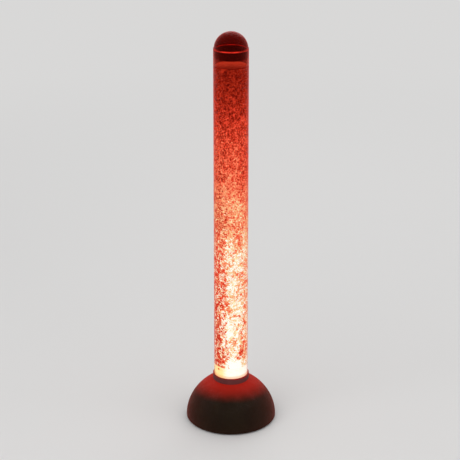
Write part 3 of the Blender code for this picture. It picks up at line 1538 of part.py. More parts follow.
def make_cables():
    """Each cable from its connector on the control board to the piece that it feeds."""
    connectors = {
        name: Vector((x, y, BOARD_TOP + CONNECTOR_HEIGHT + GAP))
        for name, (x, y) in connector_places().items()
    }
    socket_end = Vector((SOCKET_X, FITTING_Y - SOCKET_BARREL_LENGTH - GAP, POCKET_MIDDLE_Z))
    switch_end = Vector(
        (BUTTON_X, FITTING_Y - BEZEL_BARREL_LENGTH - 2 * GAP - SWITCH_DEPTH, POCKET_MIDDLE_Z)
    )
    make_cable("dc_cable", [(connectors["dc_cable"], UP), (socket_end, BACK)])
    make_cable("switch_cable", [(connectors["switch_cable"], UP), (switch_end, BACK)])
    entry_x, entry_z = pump_cable_entry()
    winding_side = CORE_DEPTH / 2 + COIL_SIDE_DEPTH - WINDING_BELOW_FLANGE
    outside = Vector((entry_x, PUMP_WIDTH / 2 + CABLE_LEAD, entry_z))
    inside = Vector((entry_x, winding_side + GAP, entry_z))
    make_cable("pump_cable", [(connectors["pump_cable"], UP), (outside, FRONT), (inside, FRONT)])
    rise_radius = (LED_BOARD_BORE_RADIUS + CARRIER_RADIUS - CARRIER_SHELF_WIDTH) / 2
    crossing = Vector((0, NECK_RADIUS, HOSE_CROSSING_Z))
    board_end = Vector((0, rise_radius, LED_BOARD_BOTTOM - GAP))
    well = Vector((0, rise_radius, LEDGE_TOP))
    make_cable(
        "led_cable",
        [(connectors["led_cable"], UP), (crossing, FRONT + UP), (well, UP), (board_end, UP)],
    )


def make_cable(name, stations):
    """One cable along a smooth route."""
    place(swept(name, route(stations, CABLE_STEPS), CABLE_RADIUS), "cable")


def settle():
    """Give every sub-part its final mesh, shaded smooth but for its sharp edges."""
    bpy.context.view_layer.update()
    graph = bpy.context.evaluated_depsgraph_get()
    meshes = {
        shape: bpy.data.meshes.new_from_object(shape.evaluated_get(graph)) for shape in PARTS.objects
    }
    for shape, mesh in meshes.items():
        shape.modifiers.clear()
        mesh.shade_smooth()
        mesh.set_sharp_from_angle(angle=SMOOTH_BELOW)
        mesh.name = shape.name
        shape.data = mesh


make_base_housing()
make_base_plate()
make_feet()
make_base_screws()
make_collar()
make_tube()
make_end_plug()
make_air_inlet()
make_water()
make_cap()
make_led_unit()
make_pump_case()
make_electromagnet()
make_pump_arm()
make_air_chamber()
make_air_line()
make_inlet_socket()
make_button()
make_control_board()
make_cables()
settle()
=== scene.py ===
"""LED bubble tube: the finished lamp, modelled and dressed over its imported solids.

Metres, +Z up, the standing surface at zero, the tube's axis on Z, the viewer at -Y and the fittings at +Y.
"""

from __future__ import annotations
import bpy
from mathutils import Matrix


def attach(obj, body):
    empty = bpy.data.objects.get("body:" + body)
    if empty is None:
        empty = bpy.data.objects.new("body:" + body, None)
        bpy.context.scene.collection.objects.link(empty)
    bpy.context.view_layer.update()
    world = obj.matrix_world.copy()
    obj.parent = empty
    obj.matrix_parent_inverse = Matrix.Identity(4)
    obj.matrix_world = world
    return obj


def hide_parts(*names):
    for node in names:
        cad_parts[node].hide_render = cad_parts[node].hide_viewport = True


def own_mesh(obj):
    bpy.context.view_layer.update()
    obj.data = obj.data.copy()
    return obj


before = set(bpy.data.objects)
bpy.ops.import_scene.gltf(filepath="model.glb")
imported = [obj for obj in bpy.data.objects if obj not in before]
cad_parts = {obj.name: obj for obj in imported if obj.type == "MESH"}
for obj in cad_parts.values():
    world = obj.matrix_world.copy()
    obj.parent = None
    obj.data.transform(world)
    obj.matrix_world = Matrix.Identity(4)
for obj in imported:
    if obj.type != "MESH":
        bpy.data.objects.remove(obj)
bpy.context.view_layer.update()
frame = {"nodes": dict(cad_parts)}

import logging
import math
from collections.abc import Callable, Iterable, Mapping, Sequence
from dataclasses import dataclass, field
from enum import Enum

import bpy
import numpy as np
from mathutils import Vector

LOG = logging.getLogger("bubble_tube")

Colour = tuple[float, float, float]
Point = tuple[float, float, float]
Station = tuple[float, float]
Span = tuple[float, float]
Stop = tuple[float, Colour]
Piece = bpy.types.Object
Node = bpy.types.Node
Socket = bpy.types.NodeSocket
NodeTree = bpy.types.NodeTree
Outputs = Mapping[str, Socket]

# Points closer than this are one point
MERGE = 0.00001
SMOOTH_ANGLE = math.radians(32)
ROUND_STEPS = 128
CORNER_STEPS = 6
BLACK: Colour = (0.0, 0.0, 0.0)
WHITE: Colour = (1.0, 1.0, 1.0)


class Body(str, Enum):
    """The bodies that the new pieces ride on."""

    BASE = "base"
    CAP = "cap"


class Shade(Enum):
    """How a turned piece's faces are shaded."""

    SMOOTH = "smooth"
    FLAT = "flat"


class Element(Enum):
    """What is selected in an open piece."""

    VERTEX = "VERT"
    EDGE = "EDGE"


class Mixed(Enum):
    """What a Mix node mixes: its data type, its first value's input and its output."""

    COLOUR = ("RGBA", 6, 2)
    NUMBER = ("FLOAT", 2, 0)


# Modelling by hand


def clear_selection() -> None:
    """Leave object mode's selection empty."""
    bpy.ops.object.select_all(action="DESELECT")


def take(piece: Piece) -> None:
    """Select one piece alone and make it active.

    Args:
        piece: The piece.
    """
    clear_selection()
    piece.select_set(True)
    bpy.context.view_layer.objects.active = piece


def edit(piece: Piece) -> None:
    """Open one piece in edit mode."""
    take(piece)
    bpy.ops.object.mode_set(mode="EDIT")


def leave_edit() -> None:
    """Go back to object mode."""
    bpy.ops.object.mode_set(mode="OBJECT")


def pick_all() -> None:
    """Select all of the open piece."""
    bpy.ops.mesh.select_all(action="SELECT")


def pick(piece: Piece, wanted: Callable[[Vector], bool], kind: Element = Element.VERTEX) -> None:
    """Select the open piece's vertices or edges whose middle is wanted.

    Args:
        piece: The piece that is open in edit mode.
        wanted: Tells for a point whether it is taken.
        kind: What is selected.
    """
    bpy.ops.mesh.select_mode(type=kind.value)
    bpy.ops.mesh.select_all(action="DESELECT")
    leave_edit()
    corners = piece.data.vertices
    if kind is Element.VERTEX:
        for vertex in corners:
            vertex.select = wanted(vertex.co)
    else:
        for edge in piece.data.edges:
            first, last = edge.vertices
            edge.select = wanted((corners[first].co + corners[last].co) / 2)
    bpy.ops.object.mode_set(mode="EDIT")


def close_shape() -> None:
    """Merge the open piece's doubles, turn its faces outwards and leave edit mode."""
    pick_all()
    bpy.ops.mesh.remove_doubles(threshold=MERGE)
    bpy.ops.mesh.normals_make_consistent(inside=False)
    leave_edit()


def smooth(piece: Piece) -> Piece:
    """Shade a piece smooth, but keep its real edges.

    Args:
        piece: The piece.

    Returns:
        The same piece.
    """
    take(piece)
    bpy.ops.object.shade_smooth_by_angle(angle=SMOOTH_ANGLE)
    return piece


def linked(name: str, data: bpy.types.ID) -> bpy.types.Object:
    """Put new data into the scene as an object.

    Args:
        name: The object's name.
        data: Its mesh, lamp or camera.

    Returns:
        The object.
    """
    made = bpy.data.objects.new(name, data)
    bpy.context.scene.collection.objects.link(made)
    return made


def turned(
    name: str, section: Sequence[Station], steps: int = ROUND_STEPS, shade: Shade = Shade.SMOOTH
) -> Piece:
    """Draw a section from one vertex and spin it about the lamp's axis.

    Args:
        name: The piece's name.
        section: Radius and height of each corner. Where it starts off the axis, it is closed to a ring.
        steps: Steps in the whole turn.
        shade: Smooth for most pieces, flat for a thick clear wall, where light bends as in true facets.

    Returns:
        The closed and shaded piece.
    """
    if section[0][0] > MERGE:
        section = [*section, section[0]]
    clear_selection()
    bpy.ops.mesh.primitive_plane_add(size=MERGE)
    piece = bpy.context.object
    piece.name = name
    piece.data.name = name
    edit(piece)
    bpy.ops.mesh.select_mode(type="VERT")
    pick_all()
    bpy.ops.mesh.merge(type="CENTER")
    radius, height = section[0]
    bpy.ops.transform.translate(value=(radius, 0, height))
    for next_radius, next_height in section[1:]:
        move = (next_radius - radius, 0, next_height - height)
        bpy.ops.mesh.extrude_region_move(TRANSFORM_OT_translate={"value": move})
        radius, height = next_radius, next_height
    pick_all()
    bpy.ops.mesh.spin(steps=steps, angle=math.tau, center=(0, 0, 0), axis=(0, 0, 1))
    close_shape()
    return smooth(piece) if shade is Shade.SMOOTH else piece


def arc(centre: Station, radius: float, first: float, last: float, count: int) -> list[Station]:
    """Corners along an arc of a section.

    Args:
        centre: Radius and height of the arc's centre.
        radius: The arc's own radius.
        first: Its first angle in degrees, from the outward direction up.
        last: Its last angle in degrees.
        count: How many steps it has.

    Returns:
        The arc's corners, both ends among them.
    """
    corners = []
    for index in range(count + 1):
        angle = math.radians(first + (last - first) * index / count)
        corners.append((centre[0] + radius * math.cos(angle), centre[1] + radius * math.sin(angle)))
    return corners


def rounded_block(name: str, low: Sequence[float], high: Sequence[float], corner: float) -> Piece:
    """Model a block whose edges from front to back are rounded.

    Args:
        name: The piece's name.
        low: Its lowest corner.
        high: Its highest corner.
        corner: The radius of the rounded edges.

    Returns:
        The block, with its place in its mesh.
    """
    low, high = Vector(low), Vector(high)
    middle = (low + high) / 2
    clear_selection()
    bpy.ops.mesh.primitive_cube_add(size=1, location=middle)
    block = bpy.context.object
    block.name = name
    block.scale = high - low
    bpy.ops.object.transform_apply(location=True, rotation=True, scale=True)
    edit(block)
    pick(block, lambda at: min(abs(at.x - middle.x), abs(at.z - middle.z)) > MERGE, Element.EDGE)
    bpy.ops.mesh.bevel(offset=corner, segments=CORNER_STEPS, profile=0.5, affect="EDGES")
    leave_edit()
    return block


def cut_away(piece: Piece, cutter: Piece) -> Piece:
    """Cut one closed shape from a piece and remove the cutter.

    Args:
        piece: The piece that is cut.
        cutter: The shape that is taken out of it.

    Returns:
        The cut piece.
    """
    take(piece)
    boolean = piece.modifiers.new("cut", "BOOLEAN")
    boolean.operation = "DIFFERENCE"
    boolean.solver = "EXACT"
    boolean.object = cutter
    bpy.ops.object.modifier_apply(modifier=boolean.name)
    bpy.data.objects.remove(cutter)
    return piece


def settle(piece: Piece, body: Body, slot: str, finish: Finish, *nodes: str) -> None:
    """Dress a finished piece and put it on its body, in place of its nodes.

    Args:
        piece: The piece, with its place in its mesh.
        body: The body that it rides on.
        slot: The record's material slot; not used.
        finish: What dresses it.
        nodes: The nodes that it stands for.
    """
    piece.data.materials.clear()
    piece.data.materials.append(finish.material())
    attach(piece, body.value)
    if nodes:
        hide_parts(*nodes)
    LOG.info("%s: %d faces, rides on %s", piece.name, len(piece.data.polygons), body.value)


# Node trees


@dataclass(frozen=True)
class Cloud:
    """A noise pattern: clouds in a metre, its finer layers, and how it is bent, stretched and shifted."""

    scale: object
    detail: float = 2.0
    roughness: float = 0.5
    bend: float = 0.0
    stretch: Point | None = None
    shift: Point = (0.0, 0.0, 0.0)


class Wiring:
    """Lays the nodes of one tree and joins them. A value is an output or a plain number or colour."""

    def __init__(self, tree: NodeTree) -> None:
        """Start on a material's, group's or world's tree."""
        self.tree = tree
        self.shader = tree.nodes.get("Principled BSDF")

    def add(self, kind: str, **settings: object) -> Node:
        """Lay one node and set its properties.

        Args:
            kind: The node's type.
            settings: Its properties by name.

        Returns:
            The new node.
        """
        node = self.tree.nodes.new(kind)
        for name, value in settings.items():
            setattr(node, name, value)
        return node

    def feed(self, target: Socket, value: object) -> None:
        """Join an output to an input, or write a plain value in it.

        Args:
            target: The input.
            value: What it gets.
        """
        if isinstance(value, Socket):
            self.tree.links.new(value, target)
        elif isinstance(value, tuple) and len(value) == 3 and target.type == "RGBA":
            target.default_value = (*value, 1.0)
        else:
            target.default_value = value

    def join(self, node: Node, *values: object, **named: object) -> Node:
        """Feed a node's inputs.

        Args:
            node: The node.
            values: What its first inputs get, in order.
            named: What others get by name, with _ for a space.

        Returns:
            The same node.
        """
        for target, value in zip(node.inputs, values):
            self.feed(target, value)
        for name, value in named.items():
            self.feed(node.inputs[name.replace("_", " ")], value)
        return node

    def paint(self, **values: object) -> None:
        """Feed the shader's inputs by name, with _ for a space."""
        self.join(self.shader, **values)

    def glow(self, colour: object, strength: float = 1.0) -> None:
        """Let the surface give light."""
        self.paint(Emission_Color=colour, Emission_Strength=strength)

    def bump(self, height: object, depth: float, strength: float = 1.0) -> None:
        """Give the surface a relief.

        Args:
            height: The relief, between 0 and 1.
            depth: How deep it is in metres.
            strength: How much of it shows.
        """
        node = self.join(self.add("ShaderNodeBump"), Distance=depth, Strength=strength, Height=height)
        self.paint(Normal=node.outputs["Normal"])

    def maths(self, operation: str, *values: object, clamp: bool = False) -> Socket:
        """Work one sum.

        Args:
            operation: The Math node's operation.
            values: Its outputs or numbers, in order.
            clamp: Whether the result stays between 0 and 1.

        Returns:
            The result.
        """
        return self.join(self.add("ShaderNodeMath", operation=operation, use_clamp=clamp), *values).outputs[0]

    def times(self, first: object, second: object) -> Socket:
        """Multiply two values."""
        return self.maths("MULTIPLY", first, second)

    def plus(self, first: object, second: object, clamp: bool = False) -> Socket:
        """Add two values."""
        return self.maths("ADD", first, second, clamp=clamp)

    def less(self, first: object, second: object) -> Socket:
        """Take the second value from the first."""
        return self.maths("SUBTRACT", first, second)

    def swing(self, noise: object, reach: float) -> Socket:
        """Centre a noise on zero and scale it."""
        return self.times(self.less(noise, 0.5), reach)

    def off_axis(self, x: Socket, y: Socket) -> Socket:
        """Give a point's distance from the lamp's axis."""
        return self.maths("SQRT", self.plus(self.times(x, x), self.times(y, y)))

    def spread(
        self, value: object, low: object, high: object, to_low: float = 0.0, to_high: float = 1.0
    ) -> Socket:
        """Stretch a range smoothly onto another, held at both ends.

        Args:
            value: What is stretched.
            low: Where its range starts.
            high: Where it ends.
            to_low: What the start becomes.
            to_high: What the end becomes.

        Returns:
            The stretched value.
        """
        node = self.add("ShaderNodeMapRange", interpolation_type="SMOOTHSTEP", clamp=True)
        self.join(node, Value=value, From_Min=low, From_Max=high, To_Min=to_low, To_Max=to_high)
        return node.outputs["Result"]

    def noise(self, place: object, look: Cloud) -> Socket:
        """Lay a noise pattern.

        Args:
            place: The point that is read.
            look: The pattern.

        Returns:
            The noise, between 0 and 1.
        """
        if look.stretch is not None:
            mapping = self.join(self.add("ShaderNodeMapping"), Vector=place, Scale=look.stretch)
            place = self.join(mapping, Location=look.shift).outputs["Vector"]
        node = self.add("ShaderNodeTexNoise")
        self.join(node, Vector=place, Scale=look.scale, Detail=look.detail)
        return self.join(node, Roughness=look.roughness, Distortion=look.bend).outputs["Fac"]

    def mix(self, share: object, first: object, second: object, kind: Mixed = Mixed.COLOUR) -> Socket:
        """Mix two colours or two numbers.

        Args:
            share: How much of the second is taken.
            first: The first colour or number.
            second: The second one.
            kind: Which of the two are mixed.

        Returns:
            The mixed colour or number.
        """
        data_type, start, result = kind.value
        node = self.add("ShaderNodeMix", data_type=data_type, clamp_factor=True)
        for index, value in ((0, share), (start, first), (start + 1, second)):
            self.feed(node.inputs[index], value)
        return node.outputs[result]

    def blend(self, share: object, first: Node, second: Node) -> Socket:
        """Mix two shaders."""
        node = self.add("ShaderNodeMixShader")
        return self.join(node, share, first.outputs[0], second.outputs[0]).outputs[0]

    def ramp(self, value: object, stops: Sequence[Stop]) -> Socket:
        """Turn a value between 0 and 1 into a colour.

        Args:
            value: What is looked up.
            stops: Place and colour of each stop, in rising order.

        Returns:
            The colour.
        """
        node = self.join(self.add("ShaderNodeValToRGB"), value)
        elements = node.color_ramp.elements
        while len(elements) < len(stops):
            elements.new(0.5)
        for element, (place, colour) in zip(elements, stops):
            element.position = place
            element.color = (*colour, 1.0)
        return node.outputs["Color"]

    def parts(self, place: object) -> tuple[Socket, ...]:
        """Give the three parts of a point."""
        return tuple(self.join(self.add("ShaderNodeSeparateXYZ"), place).outputs)

    def here(self) -> Socket:
        """Give the point of the surface in the object's own space."""
        return self.add("ShaderNodeTexCoord").outputs["Object"]

    def seen_directly(self) -> Socket:
        """Tell rays from the camera, a reflection or clear glass from those that only bring light.

        Returns:
            One for such rays, zero for the others.
        """
        path = self.add("ShaderNodeLightPath").outputs
        seen = self.maths("MAXIMUM", path["Is Camera Ray"], path["Is Glossy Ray"])
        return self.maths("MAXIMUM", seen, path["Is Transmission Ray"])

    def effect(self, name: str, **values: object) -> Outputs:
        """Place a shared group and give its outputs.

        Args:
            name: The group's method in SharedEffects.
            values: Its inputs by name, with _ for a space.

        Returns:
            The group node's outputs.
        """
        return self.join(self.add("ShaderNodeGroup", node_tree=SharedEffects.get(name)), **values).outputs

    def band(self, place: object, heights: Span) -> Socket:
        """Give the shared mask that rises smoothly between two heights."""
        return self.effect("height_band", Place=place, Low=heights[0], High=heights[1])["Mask"]


def new_group(
    name: str, inputs: Sequence[tuple[str, str, object]], outputs: Sequence[tuple[str, str]]
) -> tuple[Wiring, Outputs, Node]:
    """Start a shader node group.

    Args:
        name: The group's name.
        inputs: Name, type and default of each input.
        outputs: Name and type of each output.

    Returns:
        The group's wiring, its inputs as the group sees them, and its output node.
    """
    tree = bpy.data.node_groups.new(name, "ShaderNodeTree")
    for title, kind, value in inputs:
        socket = tree.interface.new_socket(title, in_out="INPUT", socket_type=kind)
        if value is not None:
            socket.default_value = value
    for title, kind in outputs:
        tree.interface.new_socket(title, in_out="OUTPUT", socket_type=kind)
    return Wiring(tree), tree.nodes.new("NodeGroupInput").outputs, tree.nodes.new("NodeGroupOutput")


FLOAT = "NodeSocketFloat"
VECTOR = "NodeSocketVector"
COLOUR = "NodeSocketColor"


class SharedEffects:
    """The groups that more than one finish uses, each built once."""

    trees: dict[str, NodeTree] = {}

    @classmethod
    def get(cls, name: str) -> NodeTree:
        """Give a group by name, building it on first use.

        Args:
            name: The method that builds it.

        Returns:
            The group's tree.
        """
        if name not in cls.trees:
            cls.trees[name] = getattr(cls, name)()
        return cls.trees[name]

    @staticmethod
    def moulded_grain() -> NodeTree:
        """Build the fine even texture that a mould leaves.

        Returns:
            A group with height, tone and polish.
        """
        desk, given, out = new_group(
            "moulded grain",
            [("Place", VECTOR, None), ("Grain Scale", FLOAT, 900.0)],
            [("Height", FLOAT), ("Tone", FLOAT), ("Polish", FLOAT)],
        )
        place, scale = given["Place"], given["Grain Scale"]
        pits = desk.noise(place, Cloud(scale, 3.0, 0.55))
        clouds = desk.noise(place, Cloud(desk.times(scale, 0.03), 3.0))
        patches = desk.noise(place, Cloud(desk.times(scale, 0.12)))
        desk.join(out, Height=pits, Tone=desk.spread(clouds, 0.3, 0.7), Polish=desk.spread(patches, 0.3, 0.7))
        return desk.tree

    @staticmethod
    def dust_and_scuffs() -> NodeTree:
        """Build the dust that lies on upward faces, and short scuffs from handling.

        Returns:
            A group with a mask for each.
        """
        desk, given, out = new_group(
            "dust and scuffs", [("Place", VECTOR, None)], [("Dust", FLOAT), ("Scuffs", FLOAT)]
        )
        place = given["Place"]
        facing = desk.parts(desk.add("ShaderNodeNewGeometry").outputs["Normal"])[2]
        specks = desk.noise(place, Cloud(1400.0, 2.0, 0.7))
        drift = desk.noise(place, Cloud(28.0, 3.0, 0.6))
        lying = desk.times(desk.spread(facing, 0.2, 0.95), desk.spread(drift, 0.35, 0.75))
        streaks = desk.noise(place, Cloud(3.0, 2.0, 0.55, 0.3, (26.0, 26.0, 420.0)))
        spots = desk.noise(place, Cloud(34.0))
        scuffs = desk.times(desk.spread(streaks, 0.68, 0.74), desk.spread(spots, 0.52, 0.66))
        desk.join(out, Dust=desk.times(lying, desk.spread(specks, 0.52, 0.66)), Scuffs=scuffs)
        return desk.tree

    @staticmethod
    def height_band() -> NodeTree:
        """Build a mask that rises smoothly between two heights.

        Returns:
            The mask's group.
        """
        desk, given, out = new_group(
            "height band",
            [("Place", VECTOR, None), ("Low", FLOAT, 0.0), ("High", FLOAT, 1.0)],
            [("Mask", FLOAT)],
        )
        desk.join(out, Mask=desk.spread(desk.parts(given["Place"])[2], given["Low"], given["High"]))
        return desk.tree

    @staticmethod
    def lit_water() -> NodeTree:
        """Build the colour of the lit water."""
        return WaterLight().tree()


@dataclass(frozen=True)
class Plume:
    """A stream of bubbles up one side: its angle, and how many degrees aside it is full and reaches."""

    middle: float
    full: float
    reach: float

    def share(self, desk: Wiring, spin: Socket) -> Socket:
        """Tell how far a point is inside the plume.

        Args:
            desk: The group's wiring.
            spin: The point's angle about the axis.

        Returns:
            The share, between 0 and 1.
        """
        toward = desk.maths("COSINE", desk.less(spin, math.radians(self.middle)))
        return desk.spread(toward, math.cos(math.radians(self.reach)), math.cos(math.radians(self.full)))


@dataclass(frozen=True)
class Puff:
    """A denser or thinner patch of bubbles: angle, height, half width in degrees, half height and light."""

    middle: float
    height: float
    wide: float
    tall: float
    gain: float

    def added(self, desk: Wiring, light: Socket, spin: Socket, rise: Socket) -> Socket:
        """Brighten or darken the light where the puff is.

        Args:
            desk: The group's wiring.
            light: The light so far.
            spin: The point's angle about the axis.
            rise: The point's height.

        Returns:
            The light with the puff.
        """
        aside = desk.maths("DIVIDE", desk.less(spin, math.radians(self.middle)), math.radians(self.wide))
        up = desk.maths("DIVIDE", desk.less(rise, self.height), self.tall)
        apart = desk.plus(desk.times(aside, aside), desk.times(up, up))
        return desk.plus(light, desk.times(desk.spread(apart, PUFF_EDGE, 0.0), self.gain))


# At each share of the water's height: its light outside the plumes, in them, and its pattern's contrast
WATER_BY_HEIGHT: list[Stop] = [
    (0.000, (0.39, 0.95, 0.56)),
    (0.030, (0.39, 0.85, 0.60)),
    (0.087, (0.39, 0.79, 0.62)),
    (0.191, (0.40, 0.79, 0.62)),
    (0.295, (0.43, 0.75, 0.58)),
    (0.400, (0.45, 0.72, 0.54)),
    (0.497, (0.46, 0.62, 0.45)),
    (0.576, (0.43, 0.56, 0.36)),
    (0.660, (0.385, 0.465, 0.29)),
    (0.758, (0.35, 0.365, 0.28)),
    (0.857, (0.232, 0.247, 0.235)),
    (0.935, (0.174, 0.182, 0.180)),
    (0.985, (0.172, 0.175, 0.135)),
    (1.000, (0.190, 0.200, 0.100)),
]
# The water's colour at each step of its light
WATER_COLOURS: list[Stop] = [
    (0.080, (0.075, 0.0020, 0.0010)),
    (0.157, (0.153, 0.0056, 0.0021)),
    (0.220, (0.240, 0.0116, 0.0040)),
    (0.282, (0.345, 0.0185, 0.0065)),
    (0.345, (0.490, 0.0307, 0.0116)),
    (0.408, (0.700, 0.0430, 0.0200)),
    (0.470, (0.820, 0.0700, 0.0330)),
    (0.533, (0.870, 0.1130, 0.0530)),
    (0.596, (0.885, 0.1760, 0.0860)),
    (0.659, (0.885, 0.2740, 0.1330)),
    (0.722, (0.885, 0.3920, 0.1820)),
    (0.784, (0.890, 0.5350, 0.2480)),
    (0.847, (0.895, 0.7000, 0.3600)),
    (0.910, (0.910, 0.8500, 0.5300)),
    (0.973, (0.960, 0.9600, 0.8300)),
    (1.000, (0.980, 0.9800, 0.9200)),
]
# The painted light of the water's top, from the troughs of its froth to the crests
SURFACE_COLOURS: list[Stop] = [
    (0.0, (0.74, 0.18, 0.12)),
    (0.45, (0.94, 0.27, 0.17)),
    (1.0, (1.0, 0.38, 0.25)),
]
# Where a puff has faded out, as the square of its distance in half widths and half heights
PUFF_EDGE = 1.8
PLUMES = (Plume(-48.0, 44.0, 93.0), Plume(112.0, 20.0, 55.0))
PUFFS = (
    Puff(-20.0, 0.604, 40.0, 0.085, -0.080),
    Puff(-92.0, 0.570, 27.0, 0.055, 0.035),
    Puff(-67.0, 0.417, 24.0, 0.024, 0.15),
    Puff(-73.0, 0.354, 17.0, 0.028, 0.10),
    Puff(-62.0, 0.290, 28.0, 0.018, 0.13),
    Puff(-90.0, 0.244, 26.0, 0.028, 0.14),
    Puff(-86.0, 0.196, 18.0, 0.026, 0.11),
    Puff(-34.0, 0.330, 16.0, 0.030, -0.10),
    Puff(-36.0, 0.252, 16.0, 0.026, -0.24),
    Puff(-38.0, 0.178, 22.0, 0.026, -0.34),
    Puff(-70.0, 0.146, 32.0, 0.026, 0.22),
    Puff(108.0, 0.380, 22.0, 0.030, 0.12),
    Puff(120.0, 0.260, 26.0, 0.034, 0.13),
)


@dataclass(frozen=True)
class WaterLight:
    """The lit water: its light by height and side, and the fine squiggles and specks in it."""

    low: float = 0.140
    high: float = 0.875
    # The squiggles are sparse and dark in the foot, and even above it
    foot_full: float = 0.36
    foot_none: float = 0.60
    threads: tuple[Cloud, ...] = (
        Cloud(132.0, 1.0, 0.5, 0.7, (1.0, 1.0, 0.9)),
        Cloud(160.0, 1.0, 0.5, 0.7, (1.0, 1.0, 0.9), (0.4, 1.7, 0.8)),
    )
    thread_width: float = 0.085
    thread_mean: float = 0.42
    thread_mean_drop: float = 0.12
    thread_contrast: float = 1.5
    thread_share: float = 0.95
    clumps: Cloud = Cloud(135.0, 1.0, 0.5, 0.3, (1.0, 1.0, 0.85), (2.6, 1.1, 0.7))
    clump_edges: Span = (0.42, 0.58)
    clump_least: float = 0.22
    froth: Cloud = Cloud(260.0, 2.0, 0.6, 0.5, (1.0, 1.0, 0.8), (1.3, 0.4, 0.2))
    froth_contrast: float = 5.0
    froth_share: float = 0.34
    froth_drop: float = 0.16
    drift: Cloud = Cloud(62.0, 3.0, 0.6, 0.0, (1.0, 1.0, 0.7), (0.6, 2.4, 0.9))
    drift_contrast: float = 3.2
    drift_share: float = 0.20
    drift_in_plumes: float = 0.22
    # How far plumes and puffs waver: about the axis in radians, and puffs also in height
    wobble: Cloud = Cloud(95.0, 3.0, 0.6, 0.4, (1.0, 1.0, 0.8), (0.2, 0.9, 2.1))
    wobble_reach: float = 2.2
    heave: Cloud = Cloud(70.0, 3.0, 0.6, 0.5, (1.0, 1.0, 0.8), (2.2, 0.3, 1.4))
    heave_reach: float = 0.11
    plume_calming: float = 0.74
    # The pattern never falls below this share of the light outside the plumes
    least_share: float = 0.66
    least_gain_in_foot: float = 0.27

    def squiggles(self, desk: Wiring, place: Socket, foot: Socket) -> Socket:
        """Draw the fine squiggles and the specks between them.

        Args:
            desk: The group's wiring.
            place: The point.
            foot: How far it is in the foot of the water.

        Returns:
            The pattern, about zero.
        """
        lines = []
        for look in self.threads:
            ridge = desk.maths("ABSOLUTE", desk.less(desk.noise(place, look), 0.5))
            lines.append(desk.spread(ridge, self.thread_width, 0.0))
        clumps = desk.spread(desk.noise(place, self.clumps), *self.clump_edges, self.clump_least, 1.0)
        threads = desk.times(desk.maths("MAXIMUM", *lines), desk.mix(foot, WHITE, clumps))
        mean = desk.less(self.thread_mean, desk.times(foot, self.thread_mean_drop))
        curls = desk.times(desk.less(threads, mean), self.thread_contrast)
        froth = desk.swing(desk.noise(place, self.froth), self.froth_contrast)
        specks = desk.times(froth, desk.less(self.froth_share, desk.times(foot, self.froth_drop)))
        return desk.plus(desk.times(curls, self.thread_share), specks)

    def tree(self) -> NodeTree:
        """Build the group.

        Returns:
            A group that gives the water's colour.
        """
        desk, given, out = new_group(
            "lit water",
            [("Place", VECTOR, None), ("Lift", FLOAT, 0.0), ("Pattern", FLOAT, 1.0)],
            [("Colour", COLOUR)],
        )
        place = given["Place"]
        x, y, z = desk.parts(place)
        height = desk.maths("DIVIDE", desk.less(z, self.low), self.high - self.low, clamp=True)
        by_height = desk.join(desk.add("ShaderNodeSeparateColor"), desk.ramp(height, WATER_BY_HEIGHT))
        calm, stirred, contrast = by_height.outputs
        foot = desk.spread(z, self.foot_none, self.foot_full)
        lean = desk.swing(desk.noise(place, self.wobble), self.wobble_reach)
        spin = desk.plus(desk.maths("ARCTAN2", y, x), lean)
        rise = desk.plus(z, desk.swing(desk.noise(place, self.heave), self.heave_reach))

        plumes = desk.maths("MAXIMUM", *(plume.share(desk, spin) for plume in PLUMES))
        light = desk.plus(calm, desk.times(plumes, desk.less(stirred, calm)))
        for puff in PUFFS:
            light = puff.added(desk, light, spin, rise)

        gentle = desk.less(1.0, desk.times(plumes, desk.times(stirred, self.plume_calming)))
        fine = desk.times(desk.times(self.squiggles(desk, place, foot), contrast), gentle)
        drift = desk.swing(desk.noise(place, self.drift), self.drift_contrast)
        share = desk.plus(desk.times(plumes, self.drift_in_plumes), self.drift_share)
        pattern = desk.plus(fine, desk.times(desk.times(drift, contrast), share))
        light = desk.plus(light, desk.times(pattern, given["Pattern"]))
        least = desk.plus(desk.times(foot, self.least_gain_in_foot), self.least_share)
        light = desk.maths("MAXIMUM", light, desk.times(calm, least))
        light = desk.plus(light, given["Lift"], clamp=True)
        desk.join(out, Colour=desk.ramp(light, WATER_COLOURS))
        return desk.tree


# Finishes


@dataclass(frozen=True)
class Finish:
    """A material that is built once and shared by its pieces."""

    name: str
    colour: Colour
    roughness: float

    def material(self) -> bpy.types.Material:
        """Give the material, building it on first use.

        Returns:
            The material.
        """
        found = bpy.data.materials.get(self.name)
        if found is not None:
            return found
        made = bpy.data.materials.new(self.name)
        made.use_nodes = True
        desk = Wiring(made.node_tree)
        desk.paint(Roughness=self.roughness)
        self.dress(desk, desk.here())
        return made

    def dress(self, desk: Wiring, here: Socket) -> None:
        """Wire the shader's inputs; each kind of finish has its own way.

        Args:
            desk: The material's wiring.
            here: The point of the surface.
        """
        raise NotImplementedError

    def shaded(self, share: float, extra: float = 0.0) -> Colour:
        """Give the finish's own colour, made darker or lighter."""
        return tuple(min(1.0, part * share + extra) for part in self.colour)

    def vary_polish(
        self, desk: Wiring, pattern: Socket, smoother: float, rougher: float, reach: Span = (0.0, 1.0)
    ) -> None:
        """Let the roughness vary about its own value.

        Args:
            desk: The material's wiring.
            pattern: What it follows.
            smoother: How far it falls where the pattern is low.
            rougher: How far it rises where the pattern is high.
            reach: The pattern's low and high.
        """
        low, high = self.roughness - smoother, self.roughness + rougher
        desk.paint(Roughness=desk.spread(pattern, *reach, low, high))


